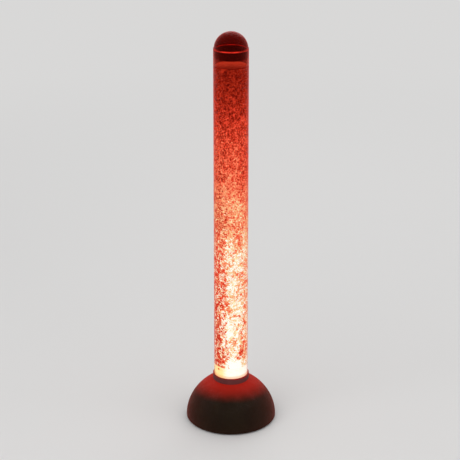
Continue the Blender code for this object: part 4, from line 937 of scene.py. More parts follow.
@dataclass(frozen=True)
class MouldedPlastic(Finish):
    """Moulded plastic with its grain, cloudy tone, dust and scuffs."""

    grain: float = 900.0
    depth: float = 0.00006
    tone: float = 0.08
    dust: float = 0.25
    dust_colour: Colour = (0.42, 0.39, 0.36)
    scuffs: float = 0.35
    scuff_gain: float = 1.3
    scuff_haze: float = 0.02
    sheen: float = 0.0
    sheen_tint: Colour = WHITE
    specular: float = 0.5

    def dress(self, desk: Wiring, here: Socket) -> None:
        """Wire grain, tone, dust and scuffs."""
        grain = desk.effect("moulded_grain", Place=here, Grain_Scale=self.grain)
        wear = desk.effect("dust_and_scuffs", Place=here)
        colour = desk.mix(grain["Tone"], self.shaded(1 - self.tone), self.shaded(1 + self.tone))
        # Painted light: a finish near the tube paints the tube's red light on here
        colour = self.add_painted_light(desk, here, colour)
        colour = desk.mix(desk.times(wear["Dust"], self.dust), colour, self.dust_colour)
        scuffed = self.shaded(self.scuff_gain, self.scuff_haze)
        colour = desk.mix(desk.times(wear["Scuffs"], self.scuffs), colour, scuffed)
        desk.paint(Base_Color=colour, Specular_IOR_Level=self.specular)
        desk.paint(Sheen_Weight=self.sheen, Sheen_Tint=self.sheen_tint)
        self.vary_polish(desk, grain["Polish"], smoother=0.06, rougher=0.07)
        desk.bump(grain["Height"], self.depth)

    def add_painted_light(self, desk: Wiring, here: Socket, colour: Socket) -> Socket:
        """Leave the colour as it is, with no painted light; a piece near the tube overrides this."""
        return colour


@dataclass(frozen=True)
class LampLitPlastic(MouldedPlastic):
    """Moulded plastic with the tube's red light painted on its upper part, as red colour and a faint glow."""

    # Painted light: the tube's red light as a colour and as a faint glow, over the fade's heights
    red: Colour = (0.22, 0.0070, 0.0030)
    glow: Colour = (0.17, 0.0045, 0.0020)
    fade: Span = (0.069, 0.108)
    ripple: Cloud = Cloud(55.0)
    ripple_reach: float = 0.006
    # How much lower the painted light reaches for each metre behind back_from
    back_reach: float = 0.0
    back_from: float = -0.075

    def add_painted_light(self, desk: Wiring, here: Socket, colour: Socket) -> Socket:
        """Paint the tube's red light on by height: redden the colour and let it glow a little.

        Args:
            desk: The material's wiring.
            here: The point of the surface.
            colour: The plain colour.

        Returns:
            The reddened colour.
        """
        ripple = desk.swing(desk.noise(here, self.ripple), self.ripple_reach)
        behind = desk.less(desk.parts(here)[1], self.back_from)
        wander = desk.plus(ripple, desk.times(behind, self.back_reach))
        lift = desk.join(desk.add("ShaderNodeCombineXYZ"), Z=wander).outputs[0]
        moved = desk.join(desk.add("ShaderNodeVectorMath", operation="ADD"), here, lift).outputs[0]
        share = desk.band(moved, self.fade)
        desk.glow(desk.mix(share, BLACK, self.glow))
        return desk.mix(share, colour, self.red)


@dataclass(frozen=True)
class Rubber(Finish):
    """Dark rubber with a soft uneven bloom."""

    grain: float = 1500.0
    depth: float = 0.00004
    bloom_gain: float = 1.5
    bloom_haze: float = 0.012
    specular: float = 0.3

    def dress(self, desk: Wiring, here: Socket) -> None:
        """Wire the bloom and the fine skin."""
        grain = desk.effect("moulded_grain", Place=here, Grain_Scale=self.grain)
        colour = desk.mix(grain["Tone"], self.colour, self.shaded(self.bloom_gain, self.bloom_haze))
        desk.paint(Base_Color=colour, Specular_IOR_Level=self.specular)
        self.vary_polish(desk, grain["Polish"], smoother=0.1, rougher=0.0)
        desk.bump(grain["Height"], self.depth)


@dataclass(frozen=True)
class Metal(Finish):
    """Bare metal with brushed lines and slight tarnish."""

    brush: Point = (700.0, 700.0, 40.0)
    tarnish: Cloud = Cloud(160.0, 3.0, 0.55)
    tarnish_reach: Span = (0.45, 0.75)
    tarnish_shade: float = 0.6
    depth: float = 0.00002

    def dress(self, desk: Wiring, here: Socket) -> None:
        """Wire the brushed lines and the tarnish."""
        lines = desk.noise(here, Cloud(1.0, 2.0, 0.6, 0.0, self.brush))
        tarnish = desk.spread(desk.noise(here, self.tarnish), *self.tarnish_reach)
        colour = desk.mix(tarnish, self.colour, self.shaded(self.tarnish_shade))
        desk.paint(Base_Color=colour, Metallic=1.0)
        self.vary_polish(desk, lines, smoother=0.08, rougher=0.12, reach=(0.3, 0.7))
        desk.bump(lines, self.depth)


@dataclass(frozen=True)
class WoundWire(Finish):
    """Enamelled wire wound in close turns."""

    pitch: float = 0.0006
    gap_shade: float = 0.25
    metallic: float = 0.9
    enamel: float = 0.6
    depth: float = 0.0002

    def dress(self, desk: Wiring, here: Socket) -> None:
        """Wire the turns as fine ridges along the winding's length."""
        turns = desk.maths("SINE", desk.times(desk.parts(here)[0], math.tau / self.pitch))
        ridge = desk.spread(turns, -1.0, 1.0)
        desk.paint(Base_Color=desk.mix(ridge, self.shaded(self.gap_shade), self.colour))
        desk.paint(Metallic=self.metallic, Coat_Weight=self.enamel)
        desk.bump(ridge, self.depth)


@dataclass(frozen=True)
class PorousStone(Finish):
    """Bonded grit with open pores."""

    grains: float = 1100.0
    pore_reach: Span = (0.1, 0.6)
    pore_shade: float = 0.45
    clouds: Cloud = Cloud(420.0, 3.0, 0.6)
    cloud_share: float = 0.4
    pale: Colour = (0.8, 0.8, 0.78)
    depth: float = 0.0004

    def dress(self, desk: Wiring, here: Socket) -> None:
        """Wire the grit and its pores."""
        cells = desk.join(desk.add("ShaderNodeTexVoronoi", feature="F1"), Vector=here, Scale=self.grains)
        grit = desk.spread(cells.outputs["Distance"], *self.pore_reach)
        colour = desk.mix(grit, self.colour, self.shaded(self.pore_shade))
        tone = desk.times(desk.noise(here, self.clouds), self.cloud_share)
        desk.paint(Base_Color=desk.mix(tone, colour, self.pale))
        desk.bump(desk.less(1.0, grit), self.depth)


@dataclass(frozen=True)
class CircuitBoard(Finish):
    """Green solder mask over copper tracks, with bare pads."""

    track_pitch: float = 0.0024
    # Half a track's width and its soft edge, and a pad's, as shares of their pitches
    track_edge: Span = (0.14, 0.18)
    pad_edge: Span = (0.10, 0.13)
    ways: Cloud = Cloud(90.0, 0.0)
    way_edge: Span = (0.49, 0.51)
    pad_metallic: float = 0.9
    over_track: Colour = (0.030, 0.187, 0.070)
    pad: Colour = (0.72, 0.68, 0.58)
    depth: float = 0.00005

    def dress(self, desk: Wiring, here: Socket) -> None:
        """Wire tracks, pads and mask."""
        x, y, _ = desk.parts(here)
        cells = desk.add("ShaderNodeTexVoronoi", feature="F1", distance="CHEBYCHEV")
        desk.join(cells, Vector=here, Scale=1 / self.track_pitch / 2)
        pads = desk.spread(cells.outputs["Distance"], *self.pad_edge, 1.0, 0.0)
        rows, columns = (desk.maths("PINGPONG", way, self.track_pitch / 2) for way in (y, x))
        choose = desk.spread(desk.noise(here, self.ways), *self.way_edge)
        along = desk.mix(choose, rows, columns, Mixed.NUMBER)
        low, high = (self.track_pitch * share for share in self.track_edge)
        tracks = desk.spread(along, low, high, 1.0, 0.0)
        colour = desk.mix(pads, desk.mix(tracks, self.colour, self.over_track), self.pad)
        desk.paint(Base_Color=colour, Metallic=desk.times(pads, self.pad_metallic))
        desk.bump(desk.maths("MAXIMUM", tracks, pads), self.depth)


@dataclass(frozen=True)
class LedPackage(Finish):
    """A lit LED: white frame and glowing yellow lens."""

    lit: Colour = (1.0, 0.62, 0.38)
    frame: Colour = (0.82, 0.81, 0.77)
    frame_lit: Colour = (0.02, 0.012, 0.006)
    lens_radius: float = 0.0021
    pitch_radius: float = 0.026
    depth: float = 0.00003

    def dress(self, desk: Wiring, here: Socket) -> None:
        """Wire the lens as the part near the package's middle."""
        x, y, _ = desk.parts(here)
        inward = desk.maths("ABSOLUTE", desk.less(desk.off_axis(x, y), self.pitch_radius))
        lens = desk.spread(inward, self.lens_radius * 0.9, self.lens_radius, 1.0, 0.0)
        desk.paint(Base_Color=desk.mix(lens, self.frame, self.colour))
        desk.glow(desk.mix(lens, self.frame_lit, self.lit))
        desk.bump(desk.noise(here, Cloud(900.0)), self.depth)


@dataclass(frozen=True)
class ClearHose(Finish):
    """Milky silicone hose."""

    milky: float = 0.25
    milky_depth: Point = (0.003, 0.003, 0.003)
    depth: float = 0.00003

    def dress(self, desk: Wiring, here: Socket) -> None:
        """Wire the milky clouds and the fine skin."""
        clouds = desk.noise(here, Cloud(130.0, 3.0))
        desk.paint(Base_Color=desk.mix(clouds, self.shaded(0.82), self.colour))
        desk.paint(Subsurface_Weight=self.milky, Subsurface_Radius=self.milky_depth)
        desk.bump(desk.noise(here, Cloud(1200.0)), self.depth)


@dataclass(frozen=True)
class ClearAcrylic(Finish):
    """Clear acrylic that bends light a little and has a soft sheen at its edges; the red of its reflection
    and sheen is painted red light.
    """

    index: float = 1.13
    # Painted light: the red colours of the reflection and the sheen stand in for red light; the sheen layer
    # itself is real
    reflection: Colour = (0.60, 0.06, 0.04)
    sheen: float = 1.0
    sheen_roughness: float = 0.45
    sheen_tint: Colour = (0.85, 0.060, 0.035)

    def clear(self, desk: Wiring, colour: Socket) -> None:
        """Let light through in a colour.

        Args:
            desk: The material's wiring.
            colour: The colour.
        """
        desk.paint(Base_Color=colour, Transmission_Weight=1.0, IOR=self.index, Specular_Tint=self.reflection)
        desk.paint(Sheen_Weight=self.sheen, Sheen_Tint=self.sheen_tint)
        desk.paint(Sheen_Roughness=self.sheen_roughness)


@dataclass(frozen=True)
class TubeAcrylic(ClearAcrylic):
    """Polished clear acrylic with painted light: just above the water the water's red light, then higher up
    painted shade in deep red, where no bubbles light it.
    """

    # Painted light: red just above the water, painted shade in deep red with a faint painted glow higher up,
    # and painted edge light at the rim
    painted_red_light: Colour = (0.45, 0.100, 0.060)
    painted_red_light_heights: Span = (0.8728, 0.8746)
    deep: Colour = (0.150, 0.012, 0.008)
    deep_light: Colour = (0.013, 0.0008, 0.0004)
    deep_heights: Span = (0.8938, 0.8965)
    rim_light: Colour = (0.13, 0.006, 0.004)
    rim_heights: Span = (0.9096, 0.9106)
    draw_lines: Cloud = Cloud(1.0, 2.0, 0.5, 0.0, (260.0, 260.0, 6.0))

    def dress(self, desk: Wiring, here: Socket) -> None:
        """Wire the painted red light and shade by height, the painted edge light at the rim and faint draw
        lines.
        """
        above = desk.band(here, self.painted_red_light_heights)
        high = desk.band(here, self.deep_heights)
        rim = desk.band(here, self.rim_heights)
        lines = desk.spread(desk.noise(here, self.draw_lines), 0.4, 0.6)
        tinted = desk.mix(above, desk.mix(lines, self.shaded(0.975), self.colour), self.painted_red_light)
        self.clear(desk, desk.mix(high, tinted, self.deep))
        desk.glow(desk.mix(rim, desk.mix(high, BLACK, self.deep_light), self.rim_light))


@dataclass(frozen=True)
class CapAcrylic(ClearAcrylic):
    """Cap whose deep red is painted red light on clear acrylic, with painted edge light where its flange
    meets the rim and a painted soft glow in its crown.
    """

    index: float = 1.12
    reflection: Colour = (0.40, 0.03, 0.02)
    sheen: float = 0.8
    sheen_roughness: float = 0.5
    sheen_tint: Colour = (0.70, 0.060, 0.040)
    # The edge light comes in over the first heights and goes out over the second
    light_starts: Span = (0.9109, 0.9115)
    light_ends: Span = (0.9119, 0.9125)
    edge_radii: Span = (0.0380, 0.0390)
    inside_radii: Span = (0.0353, 0.0357)
    edge_light: Colour = (0.090, 0.007, 0.004)
    inside_light: Colour = (0.90, 0.12, 0.070)
    body_light: Colour = (0.0030, 0.00015, 0.0001)
    crown_heights: Span = (0.925, 0.950)
    crown_light: Colour = (0.0070, 0.0004, 0.0003)
    strength: float = 3.0
    # The edge light comes and goes round the flange, down to this least share
    patches: Cloud = Cloud(85.0)
    patch_reach: Span = (0.30, 0.66)
    patch_least: float = 0.35
    tone: Cloud = Cloud(45.0, 3.0)
    mould_marks: Cloud = Cloud(70.0)
    mark_share: float = 0.3
    depth: float = 0.00004

    def dress(self, desk: Wiring, here: Socket) -> None:
        """Wire the painted edge light of the flange, outside and inside, the crown's painted glow and faint
        mould marks.
        """
        x, y, z = desk.parts(here)
        radius = desk.off_axis(x, y)
        level = desk.times(desk.spread(z, *self.light_starts), desk.spread(z, *self.light_ends, 1.0, 0.0))
        patches = desk.spread(desk.noise(here, self.patches), *self.patch_reach, self.patch_least, 1.0)
        level = desk.times(level, patches)
        outside = desk.times(level, desk.spread(radius, *self.edge_radii))
        inside = desk.times(level, desk.spread(radius, *self.inside_radii, 1.0, 0.0))
        self.clear(desk, desk.mix(desk.noise(here, self.tone), self.shaded(0.8), self.colour))
        crown = desk.mix(desk.spread(z, *self.crown_heights), self.body_light, self.crown_light)
        glow = desk.mix(inside, desk.mix(outside, crown, self.edge_light), self.inside_light)
        desk.glow(glow, self.strength)
        desk.bump(desk.noise(here, self.mould_marks), self.depth, self.mark_share)


@dataclass(frozen=True)
class GlowingWater(Finish):
    """Water full of tiny bubbles, lit from below."""

    attribute: str = ""
    pattern: float = 1.0
    own_colour: float = 0.12
    froth: Cloud = Cloud(520.0)
    depth: float = 0.0003
    burst: Cloud = Cloud(190.0, 3.0, 0.6)
    burst_reach: Span = (0.3, 0.72)
    burst_heights: Span = (0.8690, 0.8700)
    burst_radii: Span = (0.0361, 0.0368)
    # The water's top is in the shade toward the viewer
    shade: Colour = (0.22, 0.03, 0.02)
    shade_depths: Span = (-0.030, 0.036)
    shade_shares: Span = (0.72, -0.25)

    def dress(self, desk: Wiring, here: Socket) -> None:
        """Wire the lit water to the emission, with a bubble's own lift where it has one."""
        lift = 0.0
        if self.attribute:
            own = desk.add("ShaderNodeAttribute", attribute_name=self.attribute, attribute_type="GEOMETRY")
            lift = own.outputs["Fac"]
        water = desk.effect("lit_water", Place=here, Lift=lift, Pattern=self.pattern)
        colour = self.surface(desk, here, water["Colour"])
        desk.glow(colour)
        desk.paint(Base_Color=desk.mix(self.own_colour, BLACK, colour), Specular_IOR_Level=0.0)
        desk.bump(desk.noise(here, self.froth), self.depth)

    def surface(self, desk: Wiring, here: Socket, colour: Socket) -> Socket:
        """Paint brighter light on the water's top, where the bubbles burst.

        Args:
            desk: The material's wiring.
            here: The point of the surface.
            colour: The water's colour there.

        Returns:
            The colour with the brighter top.
        """
        x, y, _ = desk.parts(here)
        froth = desk.spread(desk.noise(here, self.burst), *self.burst_reach)
        burst = desk.ramp(froth, SURFACE_COLOURS)
        burst = desk.mix(desk.spread(y, *self.shade_depths, *self.shade_shares), burst, self.shade)
        inside = desk.spread(desk.off_axis(x, y), *self.burst_radii, 1.0, 0.0)
        return desk.mix(desk.times(desk.band(here, self.burst_heights), inside), colour, burst)


@dataclass(frozen=True)
class LitPlug(Finish):
    """The clear end plug with the LEDs' light painted on it as glow: pale yellow, white-hot on one side, one
    red spot.
    """

    hot: Colour = (1.0, 0.97, 0.86)
    hot_from: Span = (-0.025, -0.006)
    waves: Cloud = Cloud(85.0, 2.0, 0.5, 0.4, (1.0, 1.0, 2.2))
    wave_reach: float = 0.8
    edge: Colour = (1.0, 0.62, 0.22)
    edge_height: float = 0.1335
    edge_reach: Span = (0.0006, 0.0012)
    edge_share: float = 0.5
    warm: Colour = (0.90, 0.46, 0.20)
    warm_heights: Span = (0.1165, 0.1235)
    warm_share: float = 0.62
    # Painted light: the red LED's light as a spot on the plug
    red: Colour = (0.85, 0.02, 0.012)
    red_spot: Point = (-0.0284, -0.0232, 0.1345)
    red_reach: Span = (0.0018, 0.0036)
    own_colour: float = 0.15
    depth: float = 0.0002

    def dress(self, desk: Wiring, here: Socket) -> None:
        """Wire the light across the plug, its rings and its red spot."""
        x, _, z = desk.parts(here)
        waves = desk.noise(here, self.waves)
        flood = desk.plus(desk.spread(x, *self.hot_from), desk.swing(waves, self.wave_reach), clamp=True)
        shoulder = desk.maths("ABSOLUTE", desk.less(z, self.edge_height))
        line = desk.spread(shoulder, *self.edge_reach, self.edge_share, 0.0)
        away = desk.join(desk.add("ShaderNodeVectorMath", operation="DISTANCE"), here, self.red_spot)
        spot = desk.spread(away.outputs["Value"], *self.red_reach, 1.0, 0.0)
        colour = desk.mix(flood, self.colour, self.hot)
        colour = desk.mix(desk.times(line, desk.less(1.0, flood)), colour, self.edge)
        colour = desk.mix(desk.spread(z, *self.warm_heights, self.warm_share, 0.0), colour, self.warm)
        colour = desk.mix(spot, colour, self.red)
        desk.glow(colour)
        desk.paint(Base_Color=desk.mix(self.own_colour, BLACK, colour))
        desk.bump(waves, self.depth)


BACKDROP: Colour = (0.69, 0.685, 0.68)


@dataclass(frozen=True)
class StudioFloor(Finish):
    """A pale floor that passes into the backdrop well behind the lamp, so that no horizon shows."""

    specular: float = 0.15
    fade: Span = (0.9, 3.4)

    def dress(self, desk: Wiring, here: Socket) -> None:
        """Wire the faint clouds and the fading."""
        cloud = desk.noise(here, Cloud(1.3))
        desk.paint(Base_Color=desk.mix(cloud, self.shaded(0.985), self.colour))
        desk.paint(Specular_IOR_Level=self.specular)
        away = desk.join(desk.add("ShaderNodeVectorMath", operation="LENGTH"), here)
        far = desk.times(desk.spread(away.outputs["Value"], *self.fade), desk.seen_directly())
        backdrop = desk.join(desk.add("ShaderNodeEmission"), BACKDROP)
        blended = desk.blend(far, desk.shader, backdrop)
        desk.join(desk.tree.nodes["Material Output"], blended)


# The dome's near-black colour holds painted shade as well as the plastic's own colour; its red sheen is
# painted red light at its edges, and the tube's red light is painted on its upper part, reaching lower toward
# the back
HOUSING = LampLitPlastic(
    "dome_plastic",
    (0.0090, 0.0065, 0.0024),
    0.66,
    grain=1150.0,
    depth=0.00010,
    tone=0.16,
    dust=0.11,
    sheen=0.31,
    sheen_tint=(0.85, 0.11, 0.075),
    specular=0.08,
    back_reach=0.15,
)
# The collar's dark red-brown holds painted shade and red light as well as its own colour; the tube's red
# light and glow are painted on its top edge
COLLAR = LampLitPlastic(
    "collar_plastic",
    (0.140, 0.032, 0.032),
    0.55,
    grain=1400.0,
    dust=0.08,
    specular=0.10,
    red=(0.20, 0.005, 0.003),
    glow=(0.16, 0.001, 0.001),
    fade=(0.1140, 0.1158),
)
BLACK_PLASTIC = MouldedPlastic("black_plastic", (0.018, 0.018, 0.019), 0.55, grain=1300.0)
SOCKET_PLASTIC = MouldedPlastic(
    "socket_plastic", (0.012, 0.012, 0.013), 0.38, grain=2000.0, depth=0.00003, dust=0.08, specular=0.3
)
BUTTON_PLASTIC = MouldedPlastic(
    "button_plastic", (0.034, 0.034, 0.037), 0.35, grain=2200.0, depth=0.00003, dust=0.08, specular=0.35
)
PUMP_PLASTIC = MouldedPlastic("pump_plastic", (0.030, 0.032, 0.036), 0.5, grain=1100.0)
NYLON = MouldedPlastic("natural_nylon", (0.66, 0.65, 0.60), 0.5, grain=1500.0, depth=0.00004, dust=0.1)
RUBBER = Rubber("black_rubber", (0.014, 0.014, 0.014), 0.85)
# The seal's dark red is painted red light on rubber
RUBBER_PAINTED_RED_LIGHT = Rubber("red_lit_rubber", (0.16, 0.008, 0.006), 0.75)
CABLE = Rubber("cable_jacket", (0.030, 0.030, 0.034), 0.6)
STEEL = Metal("bright_steel", (0.52, 0.52, 0.54), 0.32)
MAGNET = Metal("magnet_plating", (0.46, 0.47, 0.50), 0.25)
LAMINATION = Metal("laminated_steel", (0.30, 0.30, 0.32), 0.45, brush=(40.0, 2400.0, 40.0))
COPPER = WoundWire("copper_wire", (0.70, 0.25, 0.10), 0.35)
STONE = PorousStone("porous_stone", (0.42, 0.44, 0.47), 0.9)
BOARD = CircuitBoard("green_board", (0.010, 0.110, 0.040), 0.4)
LED = LedPackage("led_package", (0.95, 0.82, 0.35), 0.3)
SILICONE = ClearHose("silicone_hose", (0.74, 0.76, 0.77), 0.35)
TUBE = TubeAcrylic("tube_acrylic", (1.0, 0.985, 0.975), 0.0)
# The cap's deep red colour is painted red light on clear acrylic
CAP = CapAcrylic("cap_acrylic", (0.225, 0.014, 0.010), 0.03)
WATER = GlowingWater("lit_water", (0.9, 0.1, 0.05), 0.6)
BUBBLE = GlowingWater("lit_bubble", (0.9, 0.1, 0.05), 0.35, attribute="glint", pattern=0.7)
PLUG = LitPlug("lit_plug", (1.0, 0.80, 0.32), 0.3)


# The lamp's sub-assemblies


@dataclass
class DomeBase:
    """The dome housing with its neck well and back pocket, and the collar and seal on it."""

    radius: float = 0.1075
    rise: float = 0.1053
    power: float = 1.84
    skirt_low: float = 0.0030
    skirt_high: float = 0.0072
    edge_round: float = 0.0010
    wall: float = 0.0025
    neck_bore: float = 0.0404
    neck_wall: float = 0.0024
    seat_radius: float = 0.0430
    seat_height: float = 0.1014
    ledge_low: float = 0.0762
    ledge_high: float = 0.0792
    ledge_bore: float = 0.026
    groove_radius: float = 0.0416
    groove_depth: float = 0.0024
    pocket_half: float = 0.025
    pocket_low: float = 0.012
    pocket_high: float = 0.032
    pocket_floor: float = 0.099
    pocket_corner: float = 0.004
    pocket_wall: float = 0.0025
    fitting_height: float = 0.022
    # Place in X and radius of the hole for each fitting
    holes: tuple[Station, ...] = ((-0.013, 0.0058), (0.013, 0.0079))
    hole_steps: int = 48
    collar_low: float = 0.1017
    collar_high: float = 0.1160
    collar_radius: float = 0.0430
    collar_bore: float = 0.0403
    collar_round: float = 0.0009
    seal_gap: float = 0.0003
    seal_top_gap: float = 0.0002
    dome_steps: int = 44

    def dome(self, radius: float, rise: float, neck: float) -> list[Station]:
        """Give the dome's section from its neck down to its skirt.

        Args:
            radius: The dome's radius at its foot.
            rise: Its height above the skirt.
            neck: The radius at which it starts.

        Returns:
            The section's corners.
        """
        first = math.acos((neck / radius) ** (self.power / 2))
        corners = []
        for index in range(self.dome_steps + 1):
            angle = first * (1 - index / self.dome_steps)
            across = radius * math.cos(angle) ** (2 / self.power)
            corners.append((across, self.skirt_high + rise * math.sin(angle) ** (2 / self.power)))
        return corners

    def build(self) -> None:
        """Build and dress the housing, the collar and the seal."""
        self.build_housing()
        self.build_collar()
        self.build_seal()

    def build_housing(self) -> None:
        """Model the hollow dome, with the pocket cut into its back."""
        size = self.edge_round
        outside = self.dome(self.radius, self.rise, self.seat_radius)
        seat = outside[0][1]
        section = [
            *outside,
            *arc((self.radius - size, self.skirt_low + size), size, 0, -90, 4),
            (self.ledge_bore, self.skirt_low),
            (self.ledge_bore, self.ledge_high),
            (self.neck_bore, self.ledge_high),
            (self.neck_bore, seat - self.groove_depth),
            (self.groove_radius, seat - self.groove_depth),
            (self.groove_radius, seat),
        ]
        housing = turned("dome_housing", section)
        cut_away(housing, self.hollow())
        cut_away(housing, self.pocket("pocket", 0.0))
        for x, hole_radius in self.holes:
            clear_selection()
            bpy.ops.mesh.primitive_cylinder_add(
                vertices=self.hole_steps,
                radius=hole_radius,
                depth=4 * self.pocket_wall,
                location=(x, self.pocket_floor, self.fitting_height),
                rotation=(math.pi / 2, 0, 0),
            )
            drill = bpy.context.object
            bpy.ops.object.transform_apply(location=True, rotation=True, scale=True)
            cut_away(housing, drill)
        settle(smooth(housing), Body.BASE, "housing", HOUSING, "base_housing")

    def pocket(self, name: str, margin: float) -> Piece:
        """Model a block of the back pocket's shape.

        Args:
            name: The block's name.
            margin: How far it is larger than the pocket.

        Returns:
            The block.
        """
        reach = self.pocket_half + margin
        low = (-reach, self.pocket_floor - margin, self.pocket_low - margin)
        high = (reach, self.radius + self.wall, self.pocket_high + margin)
        return rounded_block(name, low, high, self.pocket_corner)

    def hollow(self) -> Piece:
        """Model the space under the dome, less the pocket's back.

        Returns:
            The shape that is cut from the dome.
        """
        under = self.skirt_low - self.wall
        inner = self.radius - self.wall
        neck = self.neck_bore + self.neck_wall
        section = [
            *self.dome(inner, self.rise - self.wall, neck),
            (inner, under),
            (self.ledge_bore - self.wall, under),
            (self.ledge_bore - self.wall, self.ledge_low),
            (neck, self.ledge_low),
        ]
        return cut_away(turned("hollow", section), self.pocket("backing", self.pocket_wall))

    def build_collar(self) -> None:
        """Model the collar ring round the tube, with its rounded top edge."""
        size = self.collar_round
        section = [
            (self.collar_bore, self.collar_low),
            (self.collar_bore, self.collar_high - size / 2),
            (self.collar_bore + size / 2, self.collar_high),
            *arc((self.collar_radius - size, self.collar_high - size), size, 90, 0, 5),
            (self.collar_radius, self.collar_low + size / 3),
            (self.collar_radius - size / 3, self.collar_low),
        ]
        settle(turned("collar_ring", section), Body.BASE, "collar", COLLAR, "tube_collar")

    def build_seal(self) -> None:
        """Model the soft seal in its groove under the collar."""
        low = self.seat_height - self.groove_depth + self.seal_gap
        high = self.collar_low - self.seal_top_gap
        inner = self.collar_bore
        outer = self.groove_radius - self.seal_gap
        crown = (outer - inner) / 2
        bulge = arc(((inner + outer) / 2, high - crown), crown, 180, 0, 8)
        section = [(inner, low), (inner, high - crown), *bulge[1:], (outer, low)]
        settle(turned("neck_seal", section), Body.BASE, "rubber", RUBBER_PAINTED_RED_LIGHT, "collar_seal")


@dataclass
class BubbleSwarm:
    """Small bubbles pressed against the tube's wall, in three shapes modelled once each."""

    wall_radius: float = 0.03700
    press: float = 0.00008
    low: float = 0.1420
    high: float = 0.8690
    per_section: tuple[int, ...] = (1500, 1700, 2000, 2200)
    seed: int = 20
    shape_shares: tuple[float, ...] = (0.34, 0.33, 0.33)
    tilt: float = 0.75
    small: float = 0.00065
    large: float = 0.00150
    # How much larger the bubbles are at the foot
    foot_growth: float = 0.35
    top_glint: float = 0.02
    foot_glint: float = 0.30
    glint_rise: float = 2.2
    glint_spread: float = 0.08
    least_glint: float = -0.06

    def build(self) -> None:
        """Model the three shapes and scatter them, a piece for each part of the height."""
        shapes = [self.round_bubble(), self.flat_bubble(), self.crooked_bubble()]
        chance = np.random.default_rng(self.seed)
        tall = (self.high - self.low) / len(self.per_section)
        for index, count in enumerate(self.per_section):
            low = self.low + tall * index
            piece = self.scatter(f"bubbles_{index + 1}", shapes, chance, (low, low + tall), count)
            settle(piece, Body.BASE, "water", BUBBLE)
        for shape in shapes:
            bpy.data.objects.remove(shape)

    @staticmethod
    def ball(name: str, segments: int) -> Piece:
        """Add a ball of radius one that a bubble is shaped from, and open it.

        Args:
            name: The bubble's name.
            segments: Its segments round its middle.

        Returns:
            The ball, open in edit mode.
        """
        clear_selection()
        bpy.ops.mesh.primitive_uv_sphere_add(segments=segments, ring_count=5, radius=1.0)
        ball = bpy.context.object
        ball.name = name
        edit(ball)
        return ball

    def round_bubble(self) -> Piece:
        """Shape a nearly round bubble with a flatter foot.

        Returns:
            The bubble.
        """
        bubble = self.ball("round_bubble", 8)
        pick(bubble, lambda at: at.x < -0.2)
        bpy.ops.transform.resize(value=(1.0, 0.8, 0.8))
        pick_all()
        bpy.ops.transform.resize(value=(1.15, 1.0, 0.85))
        leave_edit()
        return bubble

    def flat_bubble(self) -> Piece:
        """Shape a flattened bubble that slides along the wall.

        Returns:
            The bubble.
        """
        bubble = self.ball("flat_bubble", 8)
        pick_all()
        bpy.ops.transform.resize(value=(1.9, 0.62, 1.0))
        pick(bubble, lambda at: at.x > 0.6)
        bpy.ops.transform.translate(value=(0.0, 0.22, 0.0))
        leave_edit()
        return bubble

    def crooked_bubble(self) -> Piece:
        """Shape a long bubble whose ends wriggle opposite ways.

        Returns:
            The bubble.
        """
        bubble = self.ball("crooked_bubble", 10)
        pick_all()
        bpy.ops.transform.resize(value=(2.7, 0.48, 1.0))
        pick(bubble, lambda at: at.x > 1.0)
        bpy.ops.transform.translate(value=(0.0, 0.75, 0.0))
        pick(bubble, lambda at: at.x < -1.0)
        bpy.ops.transform.translate(value=(0.0, -0.55, 0.0))
        leave_edit()
        return bubble

    def scatter(
        self, name: str, shapes: Sequence[Piece], chance: np.random.Generator, reach: Span, count: int
    ) -> Piece:
        """Lay copies of the shapes on the wall between two heights.

        Args:
            name: The new piece's name.
            shapes: The shapes that are copied.
            chance: The seeded source of places and sizes.
            reach: The lowest and highest height.
            count: How many are laid.

        Returns:
            One piece that holds every copy, each point with its bubble's glint.
        """
        moulds = []
        for shape in shapes:
            corners = np.array([vertex.co for vertex in shape.data.vertices])
            moulds.append((corners, [tuple(face.vertices) for face in shape.data.polygons]))
        points, faces, glints, start = [], [], [], 0
        for _ in range(count):
            corners, loops = moulds[int(chance.choice(len(moulds), p=self.shape_shares))]
            tilt = chance.normal(0.0, self.tilt)
            around = chance.random() * math.tau
            height = reach[0] + (reach[1] - reach[0]) * chance.random()
            depth = 1 - (height - self.low) / (self.high - self.low)
            size = self.small * (1 + self.foot_growth * depth)
            size += (self.large - self.small) * chance.random() ** 2
            bright = min(1.0, self.glint_rise * depth * depth)
            glint = self.top_glint + (self.foot_glint - self.top_glint) * bright
            glint = max(self.least_glint, chance.normal(glint, self.glint_spread))
            along = corners[:, 0] * size * math.cos(tilt) - corners[:, 1] * size * math.sin(tilt)
            up = corners[:, 0] * size * math.sin(tilt) + corners[:, 1] * size * math.cos(tilt)
            out = self.wall_radius + corners[:, 2] * self.press
            angle = around + along / self.wall_radius
            points.append(np.stack([out * np.cos(angle), out * np.sin(angle), height + up], axis=1))
            faces.extend(tuple(index + start for index in loop) for loop in loops)
            glints.append(np.full(len(corners), glint))
            start += len(corners)
        mesh = bpy.data.meshes.new(name)
        mesh.from_pydata(np.concatenate(points).tolist(), [], faces)
        marks = mesh.attributes.new("glint", "FLOAT", "POINT")
        marks.data.foreach_set("value", np.concatenate(glints).astype(np.float32))
        piece = linked(name, mesh)
        edit(piece)
        pick_all()
        bpy.ops.mesh.normals_make_consistent(inside=False)
        leave_edit()
        bpy.ops.object.shade_smooth()
        return piece


